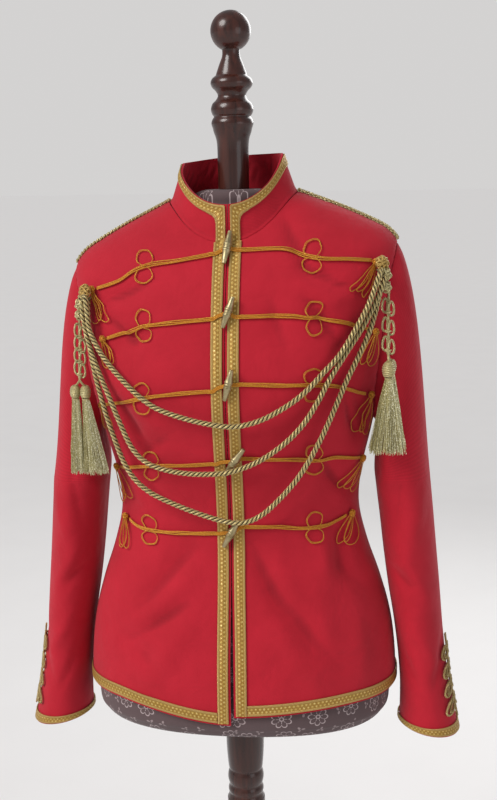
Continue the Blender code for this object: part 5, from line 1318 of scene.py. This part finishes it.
for number, (name, (head, spread_x, spread_y, length, drift, threads, head_radius)) in enumerate(TASSELS.items()):
    shape = Shape()
    chance = np.random.default_rng(40 + number)
    head = np.array(head)
    head_height = head_radius * HEAD_TALL
    root = head + [0.0, 0.0, -head_height * 1.10]
    for _ in range(threads):
        angle = chance.uniform(0.0, 2.0 * np.pi)
        far = math.sqrt(chance.uniform(0.16, 1.0))
        end = np.array([spread_x * far * math.cos(angle) + drift, spread_y * far * math.sin(angle),
                        -length * chance.uniform(0.925, 1.015)])
        begin = np.array([SKIRT_ROOT * far * math.cos(angle), SKIRT_ROOT * far * math.sin(angle), 0.0])
        share = np.linspace(0.0, 1.0, 9)
        spread = share ** SKIRT_FLARE
        line = root + begin + (end - begin) * np.stack([spread, spread, share], axis=1)
        wave = chance.uniform(-THREAD_WAVE, THREAD_WAVE, size=(2, 2))
        line[:, 0] += (wave[0, 0] * np.sin(7.0 * share) + wave[0, 1] * np.sin(15.0 * share)) * share
        line[:, 1] += (wave[1, 0] * np.sin(8.0 * share) + wave[1, 1] * np.sin(13.0 * share)) * share
        clump = 0.5 + 0.5 * math.sin(5.0 * angle + 2.0 * number) * math.sin(11.0 * angle + number)
        shape.tube(line, THREAD_RADIUS, 3, shade=0.55 * chance.uniform(0.0, 1.0) + 0.45 * clump)
    make_piece("skirt_" + name, shape, TASSEL_MATERIAL, [name])

    shape = Shape()
    rings = []
    for share in np.linspace(0.0, 0.93, 12):
        grow = share ** SKIRT_FLARE
        rings.append(level_ring(root + [drift * grow, 0.0, -length * share],
                                (CORE_ROOT + (spread_x - CORE_ROOT) * grow) * 0.86,
                                (CORE_ROOT + (spread_y - CORE_ROOT) * grow) * 0.80, 20))
    shape.solid(rings)
    make_piece("core_" + name, shape, PAINTED_SHADE_CORE_MATERIAL)

    shape = Shape()
    share = np.linspace(0.0, 1.0, 170)
    lat, turn = 1.35 - 2.35 * share, 2.0 * np.pi * HEAD_WINDS * share
    reach = head_radius * 0.88 * np.cos(lat) ** 0.7
    shape.tube(head + np.stack([reach * np.cos(turn), reach * np.sin(turn), head_height * 0.96 * np.sin(lat)],
                               axis=1), HEAD_CORD, 6)
    rings = []
    for lat in np.linspace(-1.4, 1.4, 9):
        radius = head_radius * 0.84 * math.cos(lat) ** 0.7
        rings.append(level_ring(head + [0.0, 0.0, head_height * 0.94 * math.sin(lat)], radius, radius, 20))
    shape.solid(rings)
    for drop in (1.00, 1.13):
        ring = level_ring(head - [0.0, 0.0, head_height * drop], BINDING_RADIUS, BINDING_RADIUS, 20)
        shape.tube(ring, BINDING_CORD, 6, closed=True)
    make_piece("head_" + name, shape, CHAIN_MATERIAL)

# ---------------------------------------------------------------- shoulder cords
# A flat plait of three pale gold cords covers each shoulder seam.
PLAIT_PITCH = 0.0165
PLAIT_HALF_WIDTH = 0.0034
PLAIT_OVER = 0.0011        # how far a strand rises and dips where it crosses the others
PLAIT_CORD = 0.0019
PLAIT_TWIST = 0.0060
PLAIT_TOP_Z = 1.4575
PLAIT_END_Z = 1.3870
for side, word in SIDES:
    shape = Shape()
    level = np.linspace(float(level_at(PLAIT_TOP_Z)), float(level_at(PLAIT_END_Z)), 130)
    points, normals = surface(side, level, 0.0016)
    across, _ = side_and_rise(points, False, normals)
    for strand in range(3):
        phase = 2.0 * np.pi * (reach_along(points) / PLAIT_PITCH + strand / 3.0)
        line = (points + across * (PLAIT_HALF_WIDTH * np.sin(phase))[:, None]
                + normals * (PLAIT_OVER * np.sin(2.0 * phase))[:, None])
        shape.twisted(line, PLAIT_CORD, 2, PLAIT_TWIST)
    make_piece("plait_shoulder_" + word, shape, CHAIN_MATERIAL, ["shoulder_cord_" + word])

# ---------------------------------------------------------------- cuff ornaments
# On the outer side of each cuff a cord of pale gold twist is sewn down as a stem with four pairs of loops.
CUFF_KNOT_TOP_Z = 0.872
CUFF_KNOT_FOOT_Z = 0.758
CUFF_TURN = 0.035          # how far in front of the sleeve's outer side the ornament sits, in turns
CUFF_OUT = 0.0016
CUFF_PAIRS = 4
CUFF_RADIUS = 0.043
CUFF_FIRST_LOOP = 0.020    # from the top of the stem down to the first pair of loops
CUFF_LOOP_STEP = 0.0235
CUFF_LOOP_REACH = 0.0085
CUFF_LOOP_GROWS = 0.0016   # from each pair to the next one down
CUFF_LOOP_TALL = 0.0074
CUFF_LOOP_SLOPE = 0.35
SLEEVE_PLACES = np.linspace(1.0, 9.0, 801)
SLEEVE_HEIGHTS = sleeve_base(1.0, np.zeros(801), SLEEVE_PLACES)[:, 2]
CUFF_MATERIAL = cord_material("cuff_cord", (0.18, 0.115, 0.03), (0.55, 0.40, 0.14), (1.0, 0.86, 0.50),
                              pitch=0.0018, threads=2.0)


def cuff_cord(shape, side, across, z, radius, pitch, **how):
    """Twisted cord on the outer side of a cuff, at metres across from its middle line."""
    place = np.interp(-z, -SLEEVE_HEIGHTS, SLEEVE_PLACES)
    points, _ = sleeve_surface(side, CUFF_TURN + across / (2.0 * np.pi * CUFF_RADIUS), place, CORD_GAP + CUFF_OUT)
    shape.twisted(points, radius, 2, pitch, per_turn=7, **how)


for side, word in SIDES:
    shape = Shape()
    for shift in (-0.0013, 0.0013):
        cuff_cord(shape, side, shift, np.linspace(CUFF_KNOT_TOP_Z, CUFF_KNOT_FOOT_Z, 50), 0.0014, 0.0042, sides=5)
    for pair in range(CUFF_PAIRS):
        angle = np.pi + round_angles(40)
        along = (CUFF_LOOP_REACH + CUFF_LOOP_GROWS * pair) * (1.0 + np.cos(angle)) + 0.0008
        middle_z = CUFF_KNOT_TOP_Z - CUFF_FIRST_LOOP - CUFF_LOOP_STEP * pair
        for hand in (1.0, -1.0):
            for tall, long in ((1.0, 1.0), (0.62, 0.72)):
                z = middle_z + CUFF_LOOP_TALL * tall * np.sin(angle) - along * CUFF_LOOP_SLOPE
                cuff_cord(shape, side, hand * long * along, z, 0.0017, 0.0044, sides=6, closed=True)
    make_piece("cuff_loops_" + word, shape, CUFF_MATERIAL, ["cuff_knot_" + word])

# ---------------------------------------------------------------- dress form
# The limbless form is covered in a grey brown cotton print with outlined flowers and small sprigs. It shows at
# the neck and below the hem. The print is worked out on the cloth's own UV in metres.
FLOWER_GROUP, takes, gives = new_group("flower_print", {"UV": None, "Repeat": 0.044, "Size": 0.0120, "Sprigs": 0.024},
                                       ("Line", "Sprig"))


def print_cells(repeat):
    """Metres from the nearest flower's or sprig's middle, and the angle round it."""
    per_metre = add_node(FLOWER_GROUP, "ShaderNodeMath", {0: 1.0, 1: repeat}, operation="DIVIDE")
    moved = add_node(FLOWER_GROUP, "ShaderNodeVectorMath", {0: takes["UV"], "Scale": per_metre}, operation="SCALE")
    cells = add_node(FLOWER_GROUP, "ShaderNodeTexVoronoi", {"Vector": moved, "Scale": 1.0, "Randomness": 0.42},
                     voronoi_dimensions="2D")
    x = split(add_node(FLOWER_GROUP, "ShaderNodeVectorMath", {0: moved, 1: cells["Position"]}, operation="SUBTRACT"))
    turn = add_node(FLOWER_GROUP, "ShaderNodeSeparateColor", {0: cells["Color"]})
    return (repeat * (x * x + x["Y"] * x["Y"]).work("SQRT"),
            turn.times_plus(6.283, x["Y"].work("ARCTAN2", x)))


far, angle = print_cells(takes["Repeat"])
petals = abs((angle * 4.0).sine()).work("POWER", 0.55)
outline = ramp(abs(far - takes["Size"] * petals.times_plus(0.42, 0.58)), 0.00095, 0.00045)
ring = ramp(abs(far - 0.0024), 0.0009, 0.0004)
spoke = petals.work("LESS_THAN", 0.45) * (far.work("GREATER_THAN", 0.0034) * far.work("LESS_THAN", 0.0062))
clear_of_flower = far.work("GREATER_THAN", takes["Size"] * 1.35)
feed(gives, Line=outline.work("MAXIMUM", ring).work("MAXIMUM", spoke))
far, angle = print_cells(takes["Sprigs"])
leaf_rim = abs((angle * 1.5).work("COSINE")).work("POWER", 2.0) * 0.0054
feed(gives, Sprig=far.work("LESS_THAN", leaf_rim) * far.work("GREATER_THAN", 0.0011) * clear_of_flower)

FORM_MATERIAL, tree, shader = new_material("flowered_form_cotton", 0.86, sheen_weight=0.12, sheen_roughness=0.5)
weave = use_group(tree, WEAVE_GROUP, Threads=1300.0, Diagonal=0.0)
flowers = use_group(tree, FLOWER_GROUP)
ground = blend(weave["Tone"], (0.085, 0.050, 0.052), (0.125, 0.078, 0.080))
ground = blend(flowers["Sprig"] * 0.75, ground, (0.40, 0.31, 0.31))
printed = blend(flowers["Line"] * 0.85, ground, (0.58, 0.47, 0.47))
# Painted shade: the print is coloured darker in the weave's low places.
feed(shader, Base_Color=blend(weave["Height"].times_plus(0.3, 0.7), (0.06, 0.045, 0.05), printed),
     Normal=bump(weave["Height"], 0.3, 0.0002))

FORM_INSET = 0.0075
FORM_BOTTOM_Z = 0.756
NECK_CAP_Z = 1.4660
FORM_COLUMNS = 120
FORM_QUARTER_METRES = 0.28
FORM_TOP_FROM_Z = 1.41     # the print lies flat over the form from here up
SHOULDER_DROP = 0.005      # how much lower the form's shoulders are than the jacket's
# Rise above the bottom and how far the form is drawn in there
FORM_FOOT = ((0.0, 0.022), (0.005, 0.011), (0.014, 0.004), (0.030, 0.0))
FORM_LEVELS = (0.86, 0.92, 0.98, 1.03, 1.08, 1.14, 1.20, 1.26, 1.32, 1.36, 1.385, 1.405, 1.424, 1.439)
# Half width, half depth, y of the middle, height of the rings that close the neck
NECK_RINGS = ((0.078, 0.046, 0.006, 1.4440), (0.060, 0.044, 0.006, 1.4490), (0.054, 0.043, 0.005, 1.4560),
              (0.049, 0.040, 0.004, 1.4620), (0.038, 0.033, 0.002, 1.4655), (0.028, 0.026, 0.0, NECK_CAP_Z))
turns = 4.0 * np.arange(FORM_COLUMNS) / FORM_COLUMNS
rings = []
for z, more in [(FORM_BOTTOM_Z + rise, more) for rise, more in FORM_FOOT] + [(z, 0.0) for z in FORM_LEVELS]:
    ring = section_point(turns, level_at(z), FORM_INSET + more)
    ring[:, 2] -= SHOULDER_DROP * float(smooth_step(z, 1.34, 1.40))
    rings.append(lean(ring))
for half_width, half_depth, y, z in NECK_RINGS:
    angle = turns * np.pi / 2.0
    rings.append(np.stack([half_width * np.sin(angle), y - half_depth * np.cos(angle), z + 0.0 * angle], axis=1))
rings = np.array(rings)
steps = np.linspace(0.0, len(rings) - 1.0, (len(rings) - 1) * 5 + 1)
fine_rings = catmull(rings.reshape(len(rings), -1), steps).reshape(len(steps), FORM_COLUMNS, 3)
reach = reach_along(fine_rings[:, 0])
round_metres = np.linspace(0.0, 4.0, FORM_COLUMNS + 1)[None] * FORM_QUARTER_METRES
uv = np.stack(np.broadcast_arrays(round_metres, reach[:, None]), axis=-1)
top_uv = np.concatenate([fine_rings, fine_rings[:, :1]], axis=1)[..., :2]
top_row = int(np.argmax(fine_rings[:, 0, 2] > FORM_TOP_FROM_Z))
shape = Shape()
shape.grid(fine_rings[: top_row + 1], uv[: top_row + 1], False, True)
shape.grid(fine_rings[top_row:], top_uv[top_row:], False, True)
shape.caps.append(np.arange(FORM_COLUMNS)[::-1])
shape.caps.append(np.arange(FORM_COLUMNS) + shape.count - FORM_COLUMNS)
make_piece("form_body", shape, FORM_MATERIAL, ["dress_form"], weld=True)

# ---------------------------------------------------------------- turned stand
# Ball finial, post and round foot of dark red brown beech, turned, stained and varnished to a satin gloss.
WOOD_MATERIAL, tree, shader = new_material("dark_varnished_beech", 0.30, coat_weight=0.40, coat_roughness=0.14,
                                           specular_ior_level=0.35)
grain = cloudy(tree, 1.0, 6.0, (110.0, 110.0, 7.0), Roughness=0.6, Distortion=0.5)
streak = ramp(grain, 0.35, 0.68)
pores = ramp(cloudy(tree, 1.0, 2.0, (900.0, 900.0, 40.0)), 0.60, 0.75)
wood = blend(streak, (0.018, 0.0058, 0.0042), (0.080, 0.020, 0.012))
wood = blend(cloudy(tree, 18.0, 3.0) * 0.5, wood, (0.045, 0.014, 0.010))
feed(shader, Base_Color=blend(pores * 0.6, wood, (0.010, 0.004, 0.003)), Roughness=streak.times_plus(0.12, 0.26),
     Normal=bump(grain, 0.15, 0.0006))

BALL_RADIUS = 25.5
BALL_Z = 1662.0
BALL_ANGLES = np.radians([88, 80, 66, 52, 39, 26, 13, 0, -13, -26, -38, -50, -60, -64])
# Radius and height in millimetres from the top of each piece to its foot; the finial starts with its ball
PROFILES = {
    "finial": [(BALL_RADIUS * math.cos(a), BALL_Z + BALL_RADIUS * math.sin(a)) for a in BALL_ANGLES] + [
        (11.5, 1631), (15, 1622), (19, 1611), (20, 1608), (24.8, 1604), (26.8, 1598.5), (24.8, 1593),
        (20.5, 1588.5), (17.8, 1583), (20.5, 1577.5), (25, 1573), (27, 1566), (25.5, 1560), (23.5, 1556.8),
        (25.8, 1553), (26.8, 1548), (25, 1542), (24, 1537.5), (21.2, 1529), (20, 1518), (20, 1498.5),
        (20, NECK_CAP_Z / MM + 0.4),
    ],
    "pole": [
        (26.2, FORM_BOTTOM_Z / MM - 0.4), (26.2, 700), (24, 666), (22.6, 662), (24.5, 656), (25.2, 649), (24, 642),
        (22.8, 638.5), (24.6, 633), (24.6, 629), (23.4, 625), (25.5, 618), (26.5, 605), (27, 500), (29, 350),
        (31, 200), (32, 140), (29, 125), (40, 112), (40, 100),
    ],
    "base": [
        (43, 99.6), (56, 96), (62, 86), (70, 74), (100, 62), (150, 53), (176, 48), (185, 40), (188, 28), (185, 16),
        (180, 12), (180, 0),
    ],
}
for node, profile in PROFILES.items():
    profile = np.array(profile) * MM
    fine = catmull(profile, np.linspace(0.0, len(profile) - 1.0, (len(profile) - 1) * 4 + 1))
    fine[:, 1] = np.clip(fine[:, 1], profile[:, 1].min(), profile[:, 1].max())
    shape = Shape()
    shape.solid([level_ring((0.0, 0.0, z), radius, radius, 72) for radius, z in fine])
    make_piece("turned_" + node, shape, WOOD_MATERIAL, [node], sharp=50.0)
